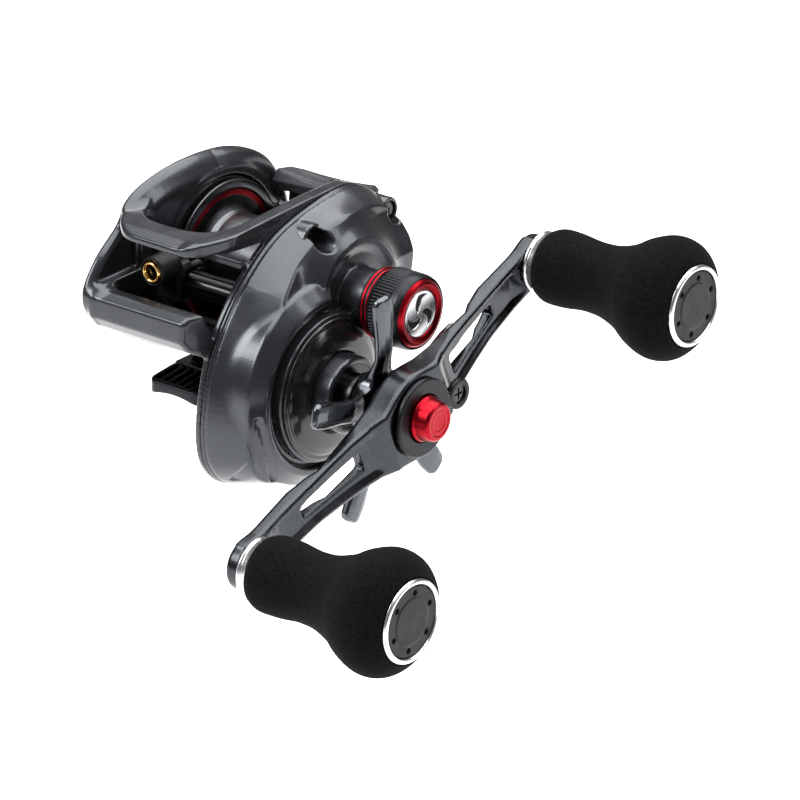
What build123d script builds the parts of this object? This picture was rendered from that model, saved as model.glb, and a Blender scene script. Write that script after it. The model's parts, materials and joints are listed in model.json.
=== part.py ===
from build123d import *
from math import atan2, cos, degrees, hypot, pi, radians, sin, sqrt, tau
import os

os.makedirs("parts", exist_ok=True)

# ---------------------------------------------------------------------------
# Low-profile baitcasting reel, left-hand crank.  Millimetres.
# +X points to the handle side, the line leaves towards -Y, +Z is up.
# The origin is the crown of the reel foot's underside, where the foot sits
# on a rod's reel seat, straight below the middle of the spool.
# ---------------------------------------------------------------------------

# Driving dimensions
SPOOL_HEIGHT = 19.5          # spool axis above the foot
FLANGE_RADIUS = 16.9         # spool flanges
ARBOR_RADIUS = 10.0
SPOOL_HALF = 11.8            # half the spool's length over its flanges
SHAFT_RADIUS = 1.6           # spool shaft
WELL_RADIUS = 17.4           # the frame's bore around the spool
CRANK = 51.0                 # crank shaft to knob axis
CRANK_ANGLE = radians(21.32)  # the rear knob stands this far above the level
DRIVE_Y = -13.45             # crank shaft, ahead of the spool axis
FIT = 0.05                   # radial clearance of a running fit

# Gears
MODULE = 0.46                # crank gear and pinion
MAIN_TEETH = 77
PINION_TEETH = 14
TRAIN_MODULE = 0.6           # level-wind train
TRAIN_TEETH = (34, 18, 10)   # on the crank shaft, the idler, on the worm
WORM = (-22.0, 22.5)         # worm axis (y, z)

gear_centres = MODULE * (MAIN_TEETH + PINION_TEETH) / 2
SPOOL = (0.0, SPOOL_HEIGHT)
DRIVE = (DRIVE_Y, SPOOL_HEIGHT - sqrt(gear_centres ** 2 - DRIVE_Y ** 2))
arm_y = cos(CRANK_ANGLE)
arm_z = sin(CRANK_ANGLE)
KNOB_REAR = (DRIVE[0] + CRANK * arm_y, DRIVE[1] + CRANK * arm_z)
KNOB_FRONT = (DRIVE[0] - CRANK * arm_y, DRIVE[1] - CRANK * arm_z)

# Stations along X
PALM_IN = -12.3              # inner face of the frame's palm-side wall
PALM_OUT = -16.8             # where the palm cover seats
WALL_IN = 12.2               # inner face of the frame's gear-side wall
SEAM = 13.5                  # where the gear-side plate seats
PLATE_TOP = 20.9             # flat of the side plate's upper panel
BULGE_TOP = 27.2             # rim of the round gear housing
KNOB_BASE = 47.4             # inner end of the handle knobs
KNOB_END = 88.3              # outer end of the handle knobs


def save(part, name):
    """Label one finished piece and write it."""
    part.label = name
    export_step(part, f"parts/{name}.step")
    return part


def axial(at):
    """Drawing plane through the axis at (y, z): across is X, up is the radius."""
    return Plane((0, at[0], at[1]), x_dir=(1, 0, 0), z_dir=(0, -1, 0))


def disc(x0, x1, radius, at=SPOOL, mode=Mode.ADD):
    """Round bar from x0 to x1 about the axis at (y, z)."""
    with BuildSketch(Plane.YZ.offset(x0)) as circle:
        with Locations(at):
            Circle(radius)
    extrude(circle.sketch, amount=x1 - x0, mode=mode)


def ring(x0, x1, outer, inner, at=SPOOL, mode=Mode.ADD):
    """Round sleeve from x0 to x1 about the axis at (y, z)."""
    with BuildSketch(Plane.YZ.offset(x0)) as annulus:
        with Locations(at):
            Circle(outer)
            Circle(inner, mode=Mode.SUBTRACT)
    extrude(annulus.sketch, amount=x1 - x0, mode=mode)


def prism(points, x0, x1, mode=Mode.ADD):
    """Straight-sided plate from x0 to x1, its outline given as (y, z)."""
    with BuildSketch(Plane.YZ.offset(x0)) as outline:
        with BuildLine():
            Polyline(*points, close=True)
        make_face()
    extrude(outline.sketch, amount=x1 - x0, mode=mode)


def drawn_in(points, inset):
    """Closed outline, listed counter-clockwise, with every point moved inwards."""
    moved = []
    for number, (y, z) in enumerate(points):
        before = points[number - 1]
        after = points[(number + 1) % len(points)]
        along = (after[0] - before[0], after[1] - before[1])
        length = hypot(*along)
        moved.append((y - inset * along[1] / length, z + inset * along[0] / length))
    return moved


def smooth_prism(points, x0, x1, inset=0.0, mode=Mode.ADD):
    """Plate from x0 to x1 with a smooth closed outline, drawn in by inset."""
    with BuildSketch(Plane.YZ.offset(x0)) as outline:
        with BuildLine():
            Spline(*drawn_in(points, inset), periodic=True)
        make_face()
    extrude(outline.sketch, amount=x1 - x0, mode=mode)


def turned(points, at, mode=Mode.ADD):
    """Solid of revolution about the axis at (y, z), its section given as (x, radius)."""
    with BuildSketch(axial(at)) as section:
        with BuildLine():
            Polyline(*points, close=True)
        make_face()
    revolve(section.sketch, Axis((0, at[0], at[1]), (1, 0, 0)), mode=mode)


def block(x, y, z, mode=Mode.ADD):
    """Box from pairs of limits."""
    centre = ((x[0] + x[1]) / 2, (y[0] + y[1]) / 2, (z[0] + z[1]) / 2)
    with Locations(centre):
        Box(x[1] - x[0], y[1] - y[0], z[1] - z[0], mode=mode)


def around(at, radius, angle):
    """Point at a radius and an angle, counted from +Y towards +Z."""
    return (at[0] + radius * cos(angle), at[1] + radius * sin(angle))


def gear_disc(x0, x1, teeth, module, phase, at, mode=Mode.ADD):
    """Spur gear with slim, tapered teeth that leave backlash; phase is a tooth's angle."""
    pitch_radius = module * teeth / 2
    root = pitch_radius - 1.15 * module
    tip = pitch_radius + 0.8 * module
    step = tau / teeth
    root_half = 0.29 * step
    mid_half = 0.19 * step
    tip_half = 0.08 * step
    points = []
    for tooth in range(teeth):
        centre = phase + tooth * step
        points.append(around(at, root, centre - root_half))
        points.append(around(at, pitch_radius, centre - mid_half))
        points.append(around(at, tip, centre - tip_half))
        points.append(around(at, tip, centre + tip_half))
        points.append(around(at, pitch_radius, centre + mid_half))
        points.append(around(at, root, centre + root_half))
    prism(points, x0, x1, mode)


def direction(start, end):
    """Angle of the line from one axis to another."""
    return atan2(end[1] - start[1], end[0] - start[0])


def meshing_phase(teeth_a, phase_a, at_a, teeth_b, at_b):
    """Tooth angle of gear b that drops its gap over gear a's tooth."""
    line = direction(at_a, at_b)
    pitch_a = tau / teeth_a
    pitch_b = tau / teeth_b
    lead = ((phase_a - line) % pitch_a) / pitch_a
    return line + pi - lead * pitch_b + pitch_b / 2


# The idler lies ahead of the line from the crank shaft to the worm, in mesh with both
reach = TRAIN_MODULE * (TRAIN_TEETH[0] + TRAIN_TEETH[1]) / 2
span = TRAIN_MODULE * (TRAIN_TEETH[1] + TRAIN_TEETH[2]) / 2
drive_to_worm = hypot(WORM[0] - DRIVE[0], WORM[1] - DRIVE[1])
bend_cosine = (drive_to_worm ** 2 + reach ** 2 - span ** 2) / (2 * drive_to_worm * reach)
bend = atan2(sqrt(1 - bend_cosine ** 2), bend_cosine)
IDLER = around(DRIVE, reach, direction(DRIVE, WORM) + bend)

main_phase = direction(DRIVE, SPOOL)
pinion_phase = meshing_phase(MAIN_TEETH, main_phase, DRIVE, PINION_TEETH, SPOOL)
train_phase = direction(DRIVE, IDLER)
idler_phase = meshing_phase(TRAIN_TEETH[0], train_phase, DRIVE, TRAIN_TEETH[1], IDLER)
worm_phase = meshing_phase(TRAIN_TEETH[1], idler_phase, IDLER, TRAIN_TEETH[2], WORM)

# Outlines in the (y, z) plane ------------------------------------------------

# Seam between frame and gear-side plate, from the top rear round the nose
SEAM_OUTLINE = [
    (10.7, 38.4), (0.0, 38.0), (-13.5, 34.7), (-23.5, 28.2), (-31.2, 19.7),
    (-36.0, 10.5), (-38.3, -2.0), (-36.5, -11.0), (-29.0, -17.3), (-14.0, -19.0),
    (1.0, -13.5), (12.0, -1.0), (20.5, 12.0), (23.6, 24.0), (19.5, 34.0),
]

# Palm-side wall: a round shoulder over the spool, drawn out into the nose
PALM_OUTLINE = [
    (5.0, 42.0), (-11.0, 43.0), (-24.5, 40.2), (-30.5, 34.6), (-37.5, 29.0),
    (-41.0, 22.0), (-38.0, 15.2), (-26.0, 7.0), (-12.0, 0.2), (3.0, -3.3),
    (15.0, 1.5), (22.5, 12.0), (23.7, 24.0), (17.0, 36.3),
]

# Screws that hold the gear-side plate, and the posts that they enter
PLATE_SCREWS = [(-7.6, 33.2), (17.6, 31.6), (-33.0, -7.0), (5.5, -4.5)]

STAR_ARMS = 5
STAR_FIRST_ARM = radians(94.5)

# ---------------------------------------------------------------------------
# Frame: one casting with two side walls, a nose, a cowl and a belly
# ---------------------------------------------------------------------------
COWL = [(-36.0, 34.6), (-36.2, 36.0), (-33.0, 36.8), (-26.0, 37.5), (-26.0, 35.6), (-32.0, 34.6)]
RAIL_TOP = [
    (-36.0, 34.6), (-36.2, 36.0), (-33.0, 36.8), (-26.0, 37.5), (-14.0, 38.0), (0.0, 38.5),
    (10.7, 38.4), (14.6, 36.8), (14.4, 34.6), (8.0, 36.2), (-6.0, 36.4),
]
RAIL = RAIL_TOP + [(-14.0, 34.6), (-24.0, 33.6)]
RAIL_ROOT = RAIL_TOP + [(-14.0, 33.4), (-23.5, 28.2)]
NOSE = [
    (-39.0, 23.0), (-40.6, 22.2), (-41.0, 18.0), (-39.0, 15.3), (-16.0, 3.4),
    (-11.0, 4.2), (-15.0, 9.8), (-33.0, 16.6), (-36.0, 23.4),
]
FOOT_SCREWS = [(-3.8, -18.5), (3.8, -18.5), (-3.8, 16.0), (3.8, 16.0)]
CROSS_BAR = [(-21.8, 30.2), (-22.0, 28.6), (-19.6, 28.2), (-19.4, 29.8)]
CLUTCH_SLOT = ((18.0, 21.4), (18.6, 26.2))
YOKE_POSTS = [around(SPOOL, 9.0, direction(DRIVE, SPOOL) + turn) for turn in (pi / 2, -pi / 2)]

with BuildPart() as frame_body:
    # Belly and rear wall: what is left of a ring around the spool, open above and in front
    ring(PALM_IN, WALL_IN, WELL_RADIUS + 2.2, WELL_RADIUS)
    block((PALM_IN, WALL_IN), (-20.0, 30.0), (25.5, 40.0), mode=Mode.SUBTRACT)
    block((PALM_IN, WALL_IN), (-20.0, -8.0), (12.5, 26.0), mode=Mode.SUBTRACT)
    smooth_prism(PALM_OUTLINE, PALM_OUT, PALM_IN)
    smooth_prism(SEAM_OUTLINE, WALL_IN, SEAM)
    prism(NOSE, PALM_IN, WALL_IN)
    prism(COWL, PALM_IN, WALL_IN)
    prism(RAIL, 8.8, WALL_IN)
    prism(RAIL_ROOT, 11.6, WALL_IN)
    prism(CROSS_BAR, PALM_IN, WALL_IN)
    disc(-20.0, WALL_IN, WELL_RADIUS, mode=Mode.SUBTRACT)
    # The palm-side wall is thinner beside the window that the line leaves through
    block((-14.3, PALM_IN), (-45.0, -25.8), (24.0, 34.5), mode=Mode.SUBTRACT)
    # Bosses inside the gear housing for the pinion and crank-shaft bearings
    disc(SEAM, 15.1, 6.4)
    disc(SEAM, 15.9, 6.2, at=DRIVE)
    disc(WALL_IN, 20.0, 3.4, mode=Mode.SUBTRACT)
    disc(12.5, 20.0, 5.0, mode=Mode.SUBTRACT)
    disc(13.7, 20.0, 4.5, at=DRIVE, mode=Mode.SUBTRACT)
    # Level-wind bores through both walls
    disc(-15.6, 20.0, 3.2, at=WORM, mode=Mode.SUBTRACT)
    disc(SEAM - 0.7, 14.9, 2.2, at=IDLER)
    disc(12.9, 15.2, 1.2, at=IDLER, mode=Mode.SUBTRACT)
    # Window that the clutch lever works through
    block((WALL_IN - 1, SEAM + 1), *CLUTCH_SLOT, mode=Mode.SUBTRACT)
    block((9.4, WALL_IN), (16.0, 22.0), (17.6, 32.0), mode=Mode.SUBTRACT)
    # Pads for the foot's screws, and the foot's flat seat
    block((-7.3, 7.3), (-22.0, 19.6), (1.3, 3.2))
    disc(PALM_IN, WALL_IN, WELL_RADIUS, mode=Mode.SUBTRACT)
    block((-7.4, 7.4), (-31.0, 31.0), (-6.0, 1.3), mode=Mode.SUBTRACT)
    for post in PLATE_SCREWS:
        disc(SEAM, 15.6, 1.7, at=post)
        disc(WALL_IN, 15.6, 0.85, at=post, mode=Mode.SUBTRACT)
    for post in YOKE_POSTS:
        disc(WALL_IN, SEAM, 0.8, at=post, mode=Mode.SUBTRACT)
    for x, y in FOOT_SCREWS:
        with Locations((x, y, 2.0)):
            Cylinder(0.8, 9, mode=Mode.SUBTRACT)
save(frame_body.part, "frame_body")

# Reel foot: a thin saddle plate with ribbed tongues fore and aft
FOOT_HALF = 31.2
FOOT_WIDTH = 14.6
SADDLE_RADIUS = 20.0

with BuildPart() as reel_foot:
    with BuildSketch(Plane.XY.offset(-1.6)):
        RectangleRounded(FOOT_WIDTH, 2 * FOOT_HALF, 2.6)
    extrude(amount=4.6)
    # Tongues slope down to the tips from the ends of the frame's flat seat
    for end in (-1, 1):
        slope = [(end * 22.0, 2.9), (end * 33.0, 2.0), (end * 33.0, 6.0), (end * 22.0, 6.0)]
        prism(slope, -9, 9, mode=Mode.SUBTRACT)
        for groove in range(6):
            x = -5.4 + 2.16 * groove
            with Locations((x, end * 26.2, 3.4)):
                Box(1.0, 7.2, 3.3, mode=Mode.SUBTRACT)
    block((-9, 9), (-22.3, 19.9), (1.3, 6.0), mode=Mode.SUBTRACT)
    block((-9, 9), (19.8, 22.1), (2.9, 6.0), mode=Mode.SUBTRACT)
    with Locations(Location((0, 0, -SADDLE_RADIUS), (90, 0, 0))):
        Cylinder(SADDLE_RADIUS, 80, mode=Mode.SUBTRACT)
    with Locations(*[(x, y, 2.0) for x, y in FOOT_SCREWS]):
        Cylinder(0.85, 9, mode=Mode.SUBTRACT)
    with Locations(*[(x, y, 0.5) for x, y in FOOT_SCREWS]):
        Cylinder(1.55, 4.0, align=(Align.CENTER, Align.CENTER, Align.MAX), mode=Mode.SUBTRACT)
save(reel_foot.part, "reel_foot")

with BuildPart() as reel_foot_screws:
    with Locations(*[(x, y, 0.5) for x, y in FOOT_SCREWS]):
        Cylinder(0.8, 2.2, align=(Align.CENTER, Align.CENTER, Align.MIN))
        Cylinder(1.45, 0.9, align=(Align.CENTER, Align.CENTER, Align.MAX))
save(reel_foot_screws.part, "reel_foot_screws")

# ---------------------------------------------------------------------------
# Gear-side plate: hollow shell over the gears, with the housing of the
# one-way clutch and the threaded boss of the cast-control knob
# ---------------------------------------------------------------------------
WALL = 1.3
BOSS_TOP = 35.4              # end of the threaded boss under the cast-control knob
CLUTCH_HOUSING = 34.6        # end of the one-way clutch's housing
DISC_SEAT = 28.4             # floor that the gear cover disc lies on

with BuildPart() as handle_side_plate:
    smooth_prism(SEAM_OUTLINE, SEAM, 18.6)
    smooth_prism(SEAM_OUTLINE, 18.5, 19.8, inset=0.9)
    smooth_prism(SEAM_OUTLINE, 19.7, PLATE_TOP, inset=2.2)
    turned([(SEAM + 1, 0), (SEAM + 1, 21.4), (24.6, 21.4), (26.2, 20.4), (BULGE_TOP, 18.8),
            (BULGE_TOP, 0)], DRIVE)
    turned([(SEAM + 1, 0), (SEAM + 1, 14.6), (22.0, 14.2), (25.0, 12.6), (26.0, 11.0), (26.0, 0)], SPOOL)
    # Dished seat around the cast-control knob, and the recess of the round cover
    turned([(30.0, 10.2), (26.1, 10.2), (24.6, 9.4), (24.6, 0), (30.0, 0)], SPOOL, mode=Mode.SUBTRACT)
    turned([(30.0, 17.6), (27.3, 17.6), (25.8, 17.2), (25.8, 0), (30.0, 0)], DRIVE, mode=Mode.SUBTRACT)
    ring(25.0, DISC_SEAT, 16.2, 8.0, at=DRIVE)
    disc(25.0, CLUTCH_HOUSING, 8.4, at=DRIVE)
    disc(24.0, BOSS_TOP, 6.3)
    # Inside space: the outline's shell, the gear well and the pinion's pocket
    smooth_prism(SEAM_OUTLINE, SEAM - 1, 18.2, inset=WALL, mode=Mode.SUBTRACT)
    smooth_prism(SEAM_OUTLINE, 18.1, 19.4, inset=WALL + 2.2, mode=Mode.SUBTRACT)
    disc(SEAM - 1, 24.3, 18.9, at=DRIVE, mode=Mode.SUBTRACT)
    disc(SEAM - 1, 22.8, 6.2, mode=Mode.SUBTRACT)
    disc(SEAM - 1, 18.6, 3.75, at=WORM, mode=Mode.SUBTRACT)
    for post in YOKE_POSTS:
        disc(SEAM - 1, 22.0, 2.8, at=post, mode=Mode.SUBTRACT)
    disc(24.2, 26.0, 6.2, at=DRIVE, mode=Mode.SUBTRACT)
    disc(25.9, CLUTCH_HOUSING + 1, 7.0, at=DRIVE, mode=Mode.SUBTRACT)
    disc(22.0, 25.2, 3.9, mode=Mode.SUBTRACT)
    disc(25.1, 27.9, 5.0, mode=Mode.SUBTRACT)
    disc(27.8, 29.1, 3.4, mode=Mode.SUBTRACT)
    disc(29.0, BOSS_TOP + 1, 5.0, mode=Mode.SUBTRACT)
    for post in PLATE_SCREWS:
        disc(15.7, 19.0, 3.0, at=post)
        disc(15.6, 17.7, 1.05, at=post, mode=Mode.SUBTRACT)
        disc(17.55, 40.0, 2.1, at=post, mode=Mode.SUBTRACT)
save(handle_side_plate.part, "handle_side_plate")

with BuildPart() as side_plate_screws:
    for post in PLATE_SCREWS:
        disc(12.6, 17.55, 0.8, at=post)
        disc(17.55, 19.0, 1.8, at=post)
        disc(18.3, 19.0, 0.8, at=post, mode=Mode.SUBTRACT)
save(side_plate_screws.part, "side_plate_screws")

# Glossy ring that closes the gear housing
with BuildPart() as gear_cover_disc:
    turned([(DISC_SEAT, 8.6), (DISC_SEAT, 15.6), (29.2, 15.6), (29.8, 15.0), (30.2, 13.6), (30.8, 9.4),
            (30.8, 8.6)], DRIVE)
    disc(28.0, 31.0, 6.6, mode=Mode.SUBTRACT)
save(gear_cover_disc.part, "gear_cover_disc")

# ---------------------------------------------------------------------------
# Palm side: cover, its lock, brake dial and brake race
# ---------------------------------------------------------------------------
COVER_TOP = -20.6
LOCK_Z = 5.5
LOCK_TRAVEL = 2.4            # the lock slides back by this much
with BuildPart() as palm_side_cover:
    turned([(PALM_OUT, 0), (PALM_OUT, 22.3), (-18.2, 22.0), (-19.6, 20.6), (-20.4, 17.6),
            (COVER_TOP, 0)], SPOOL)
    ring(PALM_OUT, PALM_IN - 0.4, WELL_RADIUS - 0.12, 15.4)
    disc(-19.3, PALM_OUT, 15.4, mode=Mode.SUBTRACT)
    # Hub that carries the spool bearing and the brake race
    ring(-19.4, -16.0, 6.4, 0.01)
    disc(-18.8, -15.9, 5.0, mode=Mode.SUBTRACT)
    disc(-20.7, -18.7, 3.2, mode=Mode.SUBTRACT)
    ring(-19.4, -17.4, 12.6, 10.2)
    disc(-21.0, -19.9, 8.6, mode=Mode.SUBTRACT)
    disc(-16.9, -10.0, 3.3, at=WORM, mode=Mode.SUBTRACT)
    block((-22.0, -19.0), (-2.2, 2.2), (LOCK_Z - 0.6, LOCK_Z + 0.6), mode=Mode.SUBTRACT)
save(palm_side_cover.part, "palm_side_cover")

# Sliding lock: a thumb tab outside, a stem through the cover and a catch inside
with BuildPart() as palm_cover_lock:
    with BuildSketch(Plane.YZ.offset(COVER_TOP)) as tab:
        with Locations((-LOCK_TRAVEL / 2, LOCK_Z)):
            SlotOverall(7.0, 2.8)
    extrude(tab.sketch, amount=-0.9)
    block((COVER_TOP - 0.3, -18.9), (-2.0, -0.4), (LOCK_Z - 0.5, LOCK_Z + 0.5))
    block((-19.2, -18.2), (-2.4, 0.0), (LOCK_Z - 0.8, LOCK_Z + 0.8))
save(palm_cover_lock.part, "palm_cover_lock")

DIAL_TOP = -22.4
with BuildPart() as brake_dial:
    turned([(-19.95, 0), (-19.95, 8.4), (-21.6, 8.4), (DIAL_TOP, 7.7), (DIAL_TOP, 0)], SPOOL)
    block((-23.2, -21.7), (-6.6, 6.6), (SPOOL_HEIGHT - 0.9, SPOOL_HEIGHT + 0.9))
    for notch in range(18):
        disc(-23.0, -20.5, 0.45, at=around(SPOOL, 8.5, notch * tau / 18), mode=Mode.SUBTRACT)
save(brake_dial.part, "brake_dial")

with BuildPart() as brake_race:
    ring(-17.4, -13.0, 11.8, 10.6)
    ring(-17.4, -16.8, 11.8, 10.2)
save(brake_race.part, "brake_race")


def ball_bearing(x0, x1, outer, inner, at=SPOOL):
    """Shielded ball bearing, kept as one bought-in part, its shields set in from the rings."""
    wall = 0.24 * (outer - inner)
    step = 0.2
    ring(x0, x1, outer, inner, at)
    ring(x0, x0 + step, outer - wall, inner + wall, at, mode=Mode.SUBTRACT)
    ring(x1 - step, x1, outer - wall, inner + wall, at, mode=Mode.SUBTRACT)


with BuildPart() as palm_bearing:
    ball_bearing(-18.7, -16.1, 5.0, SHAFT_RADIUS + FIT)
save(palm_bearing.part, "palm_bearing")

# Two bearings carry the pinion, one the crank shaft and one the end of the spool shaft
with BuildPart() as gear_side_bearings:
    ball_bearing(12.5, 15.0, 5.0, 3.0 + FIT)
    ball_bearing(25.3, 27.7, 5.0, 2.5 + FIT)
    ball_bearing(29.2, 31.8, 5.0, SHAFT_RADIUS + FIT)
    ball_bearing(13.75, 15.85, 4.5, 2.5 + FIT, at=DRIVE)
save(gear_side_bearings.part, "gear_side_bearings")

# One-way clutch: outer shell with needle rollers that grip the sleeve
with BuildPart() as roller_clutch:
    ring(26.1, 34.4, 7.0, 5.9, at=DRIVE)
    for roller in range(8):
        disc(26.8, 33.7, 0.52, at=around(DRIVE, 5.4, roller * tau / 8))
    ring(26.1, 26.7, 7.0, 4.9, at=DRIVE)
    ring(33.8, 34.4, 7.0, 4.9, at=DRIVE)
    ring(26.6, 33.9, 5.95, 5.55, at=DRIVE)
save(roller_clutch.part, "roller_clutch")

# ---------------------------------------------------------------------------
# Level wind: guard tube, worm, gears, bushings, line guide
# ---------------------------------------------------------------------------
GUARD_RADIUS = 2.75
with BuildPart() as worm_guard:
    ring(PALM_IN, WALL_IN, GUARD_RADIUS, 2.3, at=WORM)
    # Slot along the back, through which the pawl rides in the worm
    with Locations((0, WORM[0] + 2.6, WORM[1])):
        Box(20.8, 2.8, 2.2, mode=Mode.SUBTRACT)
save(worm_guard.part, "worm_guard")

with BuildPart() as worm_bushings:
    ring(-15.5, PALM_IN, 3.15, 1.3 + FIT, at=WORM)
    ring(WALL_IN, 14.2, 3.15, 1.3 + FIT, at=WORM)
save(worm_bushings.part, "worm_bushings")

with BuildPart() as worm_shaft:
    disc(-12.0, 11.9, 2.1, at=WORM)
    disc(-15.3, 18.4, 1.3, at=WORM)
save(worm_shaft.part, "worm_shaft")

with BuildPart() as worm_gear:
    gear_disc(16.4, 18.2, TRAIN_TEETH[2], TRAIN_MODULE, worm_phase, WORM)
    disc(14.6, 16.4, 2.2, at=WORM)
    disc(14.0, 18.8, 1.3, at=WORM, mode=Mode.SUBTRACT)
save(worm_gear.part, "worm_gear")

with BuildPart() as idle_gear:
    gear_disc(16.4, 18.0, TRAIN_TEETH[1], TRAIN_MODULE, idler_phase, IDLER)
    disc(15.2, 16.4, 2.6, at=IDLER)
    disc(15.0, 18.2, 1.2 + FIT, at=IDLER, mode=Mode.SUBTRACT)
save(idle_gear.part, "idle_gear")

# Line guide: carriage on the guard tube, holding the hard ring for the line
EYE = (-5.4, -31.0, 26.7)
CARRIAGE_HALF = 3.4
with BuildPart() as line_guide:
    with Locations((EYE[0], WORM[0], WORM[1])):
        Box(2 * CARRIAGE_HALF, 8.7, 8.0)
    fillet(line_guide.edges().filter_by(Axis.X), 1.4)
    with Locations(Location((EYE[0], EYE[1], EYE[2]), (90, 0, 0))):
        Cylinder(3.3, 6.4, align=(Align.CENTER, Align.CENTER, Align.MAX))
    with Locations(Location((EYE[0], EYE[1] + 4.0, EYE[2]), (90, 0, 0))):
        Cylinder(1.9, 18.0, mode=Mode.SUBTRACT)
    with Locations(Location((EYE[0], EYE[1] - 0.1, EYE[2]), (90, 0, 0))):
        Cylinder(2.5, 4.2, mode=Mode.SUBTRACT)
    disc(-20, 20, GUARD_RADIUS + 0.12, at=WORM, mode=Mode.SUBTRACT)
    with Locations(Location((EYE[0], WORM[0] + 2.0, WORM[1]), (90, 0, 0))):
        Cylinder(0.9, 2.25, align=(Align.CENTER, Align.CENTER, Align.MAX), mode=Mode.SUBTRACT)
save(line_guide.part, "line_guide")

# Hard ring in the line guide, with a rounded mouth that the line runs over
with BuildPart() as guide_eye:
    with BuildSketch(Plane.XY.offset(EYE[2])) as eye_section:
        with Locations((EYE[0] + 2.0, EYE[1] + 0.8)):
            RectangleRounded(1.0, 2.4, 0.45)
    revolve(eye_section.sketch, Axis((EYE[0], EYE[1], EYE[2]), (0, 1, 0)))
save(guide_eye.part, "guide_eye")

with BuildPart() as guide_pawl:
    with Locations(Location((EYE[0], WORM[0] + 2.15, WORM[1]), (90, 0, 0))):
        Cylinder(0.9, 2.1, align=(Align.CENTER, Align.CENTER, Align.MAX))
save(guide_pawl.part, "guide_pawl")

# ---------------------------------------------------------------------------
# Clutch: thumb bar, cam, yoke with its posts and springs, pinion
# ---------------------------------------------------------------------------
BAR = [(16.2, 29.7), (16.0, 31.7), (18.0, 33.9), (22.2, 33.1), (24.2, 30.9), (22.0, 29.3)]
BAR_APRON = [(22.4, 31.5), (21.8, 24.5), (22.8, 24.5), (24.0, 30.0)]
BAR_RISE = 0.074             # the bar climbs towards the handle side
bar_length = WALL_IN - PALM_IN - 0.8
with BuildPart() as clutch_bar:
    with BuildSketch(Plane.YZ.offset(PALM_IN + 0.4)) as bar_section:
        for outline in (BAR, BAR_APRON):
            with BuildLine():
                Polyline(*outline, close=True)
            make_face()
    extrude(bar_section.sketch, amount=bar_length, dir=(1, 0, BAR_RISE))
    # The thumb's hollow along the top
    with Locations(Location((0, 20, 93.7), (90, 0, 0))):
        Cylinder(60.6, 20, mode=Mode.SUBTRACT)
    block((9.8, WALL_IN - 0.4), (18.4, 21.0), (23.0, 33.0))
    block((11.0, 14.1), (18.4, 21.0), (23.0, 25.6))
save(clutch_bar.part, "clutch_bar")

with BuildPart() as clutch_cam:
    prism([(21.0, 23.0), (21.0, 25.6), (18.4, 27.0), (9.6, 27.2), (8.4, 25.4), (10.6, 21.4), (15.0, 22.0)],
          14.1, 15.2)
save(clutch_cam.part, "clutch_cam")

with BuildPart() as clutch_yoke:
    with BuildSketch(Plane.YZ.offset(15.5)) as yoke_plan:
        with Locations(SPOOL):
            Circle(4.6)
        for post in YOKE_POSTS:
            with Locations(post):
                Circle(2.3)
        with Locations(Location((0, SPOOL_HEIGHT, 0), degrees(direction(DRIVE, SPOOL)) + 90)):
            Rectangle(18.0, 3.2)
        with Locations(SPOOL):
            Circle(2.7, mode=Mode.SUBTRACT)
        # Open side, so that the yoke slips over the pinion's groove
        with Locations(around(SPOOL, 4.0, direction(DRIVE, SPOOL))):
            with Locations(Location((0, 0, 0), degrees(direction(DRIVE, SPOOL)))):
                Rectangle(8.0, 5.2, mode=Mode.SUBTRACT)
        for post in YOKE_POSTS:
            with Locations(post):
                Circle(1.2, mode=Mode.SUBTRACT)
    extrude(yoke_plan.sketch, amount=1.2)
save(clutch_yoke.part, "clutch_yoke")

# Fixed pins in the gear case: two posts that the yoke slides on and the idler's pin
with BuildPart() as gear_case_pins:
    for post in YOKE_POSTS:
        disc(12.3, SEAM, 0.8, at=post)
        disc(SEAM, 21.4, 1.1, at=post)
        disc(20.9, 21.4, 1.8, at=post)
    disc(12.9, 18.3, 1.2, at=IDLER)
    disc(18.3, 18.7, 1.9, at=IDLER)
save(gear_case_pins.part, "gear_case_pins")

with BuildPart() as yoke_springs:
    for post in YOKE_POSTS:
        with BuildLine() as coil:
            Helix(pitch=0.9, height=3.6, radius=1.5, center=(17.0, post[0], post[1]), direction=(1, 0, 0))
        with BuildSketch(Plane(coil.line @ 0, z_dir=coil.line % 0)) as wire:
            Circle(0.18)
        sweep(wire.sketch, path=coil.line, is_frenet=True)
save(yoke_springs.part, "yoke_springs")

with BuildPart() as pinion_gear:
    disc(12.6, 15.4, 3.0)
    disc(15.3, 16.9, 2.4)
    disc(16.8, 17.8, 3.6)
    gear_disc(17.7, 23.2, PINION_TEETH, MODULE, pinion_phase, SPOOL)
    disc(23.1, 27.0, 2.5)
    disc(12.0, 28.0, 1.85, mode=Mode.SUBTRACT)
    block((12.0, 14.2), (-4.0, 4.0), (SPOOL_HEIGHT - 0.75, SPOOL_HEIGHT + 0.75), mode=Mode.SUBTRACT)
save(pinion_gear.part, "pinion_gear")

# ---------------------------------------------------------------------------
# Crank shaft, main gear and drag stack
# ---------------------------------------------------------------------------
NUT_SEAT = 52.4
with BuildPart() as drive_shaft:
    turned([(13.8, 0), (13.8, 2.5), (18.9, 2.5), (18.9, 6.0), (19.8, 6.0), (19.8, 2.5), (36.4, 2.5),
            (36.4, 2.3), (46.2, 2.3), (46.2, 2.0), (56.4, 2.0), (56.4, 0)], DRIVE)
save(drive_shaft.part, "drive_shaft")

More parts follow.
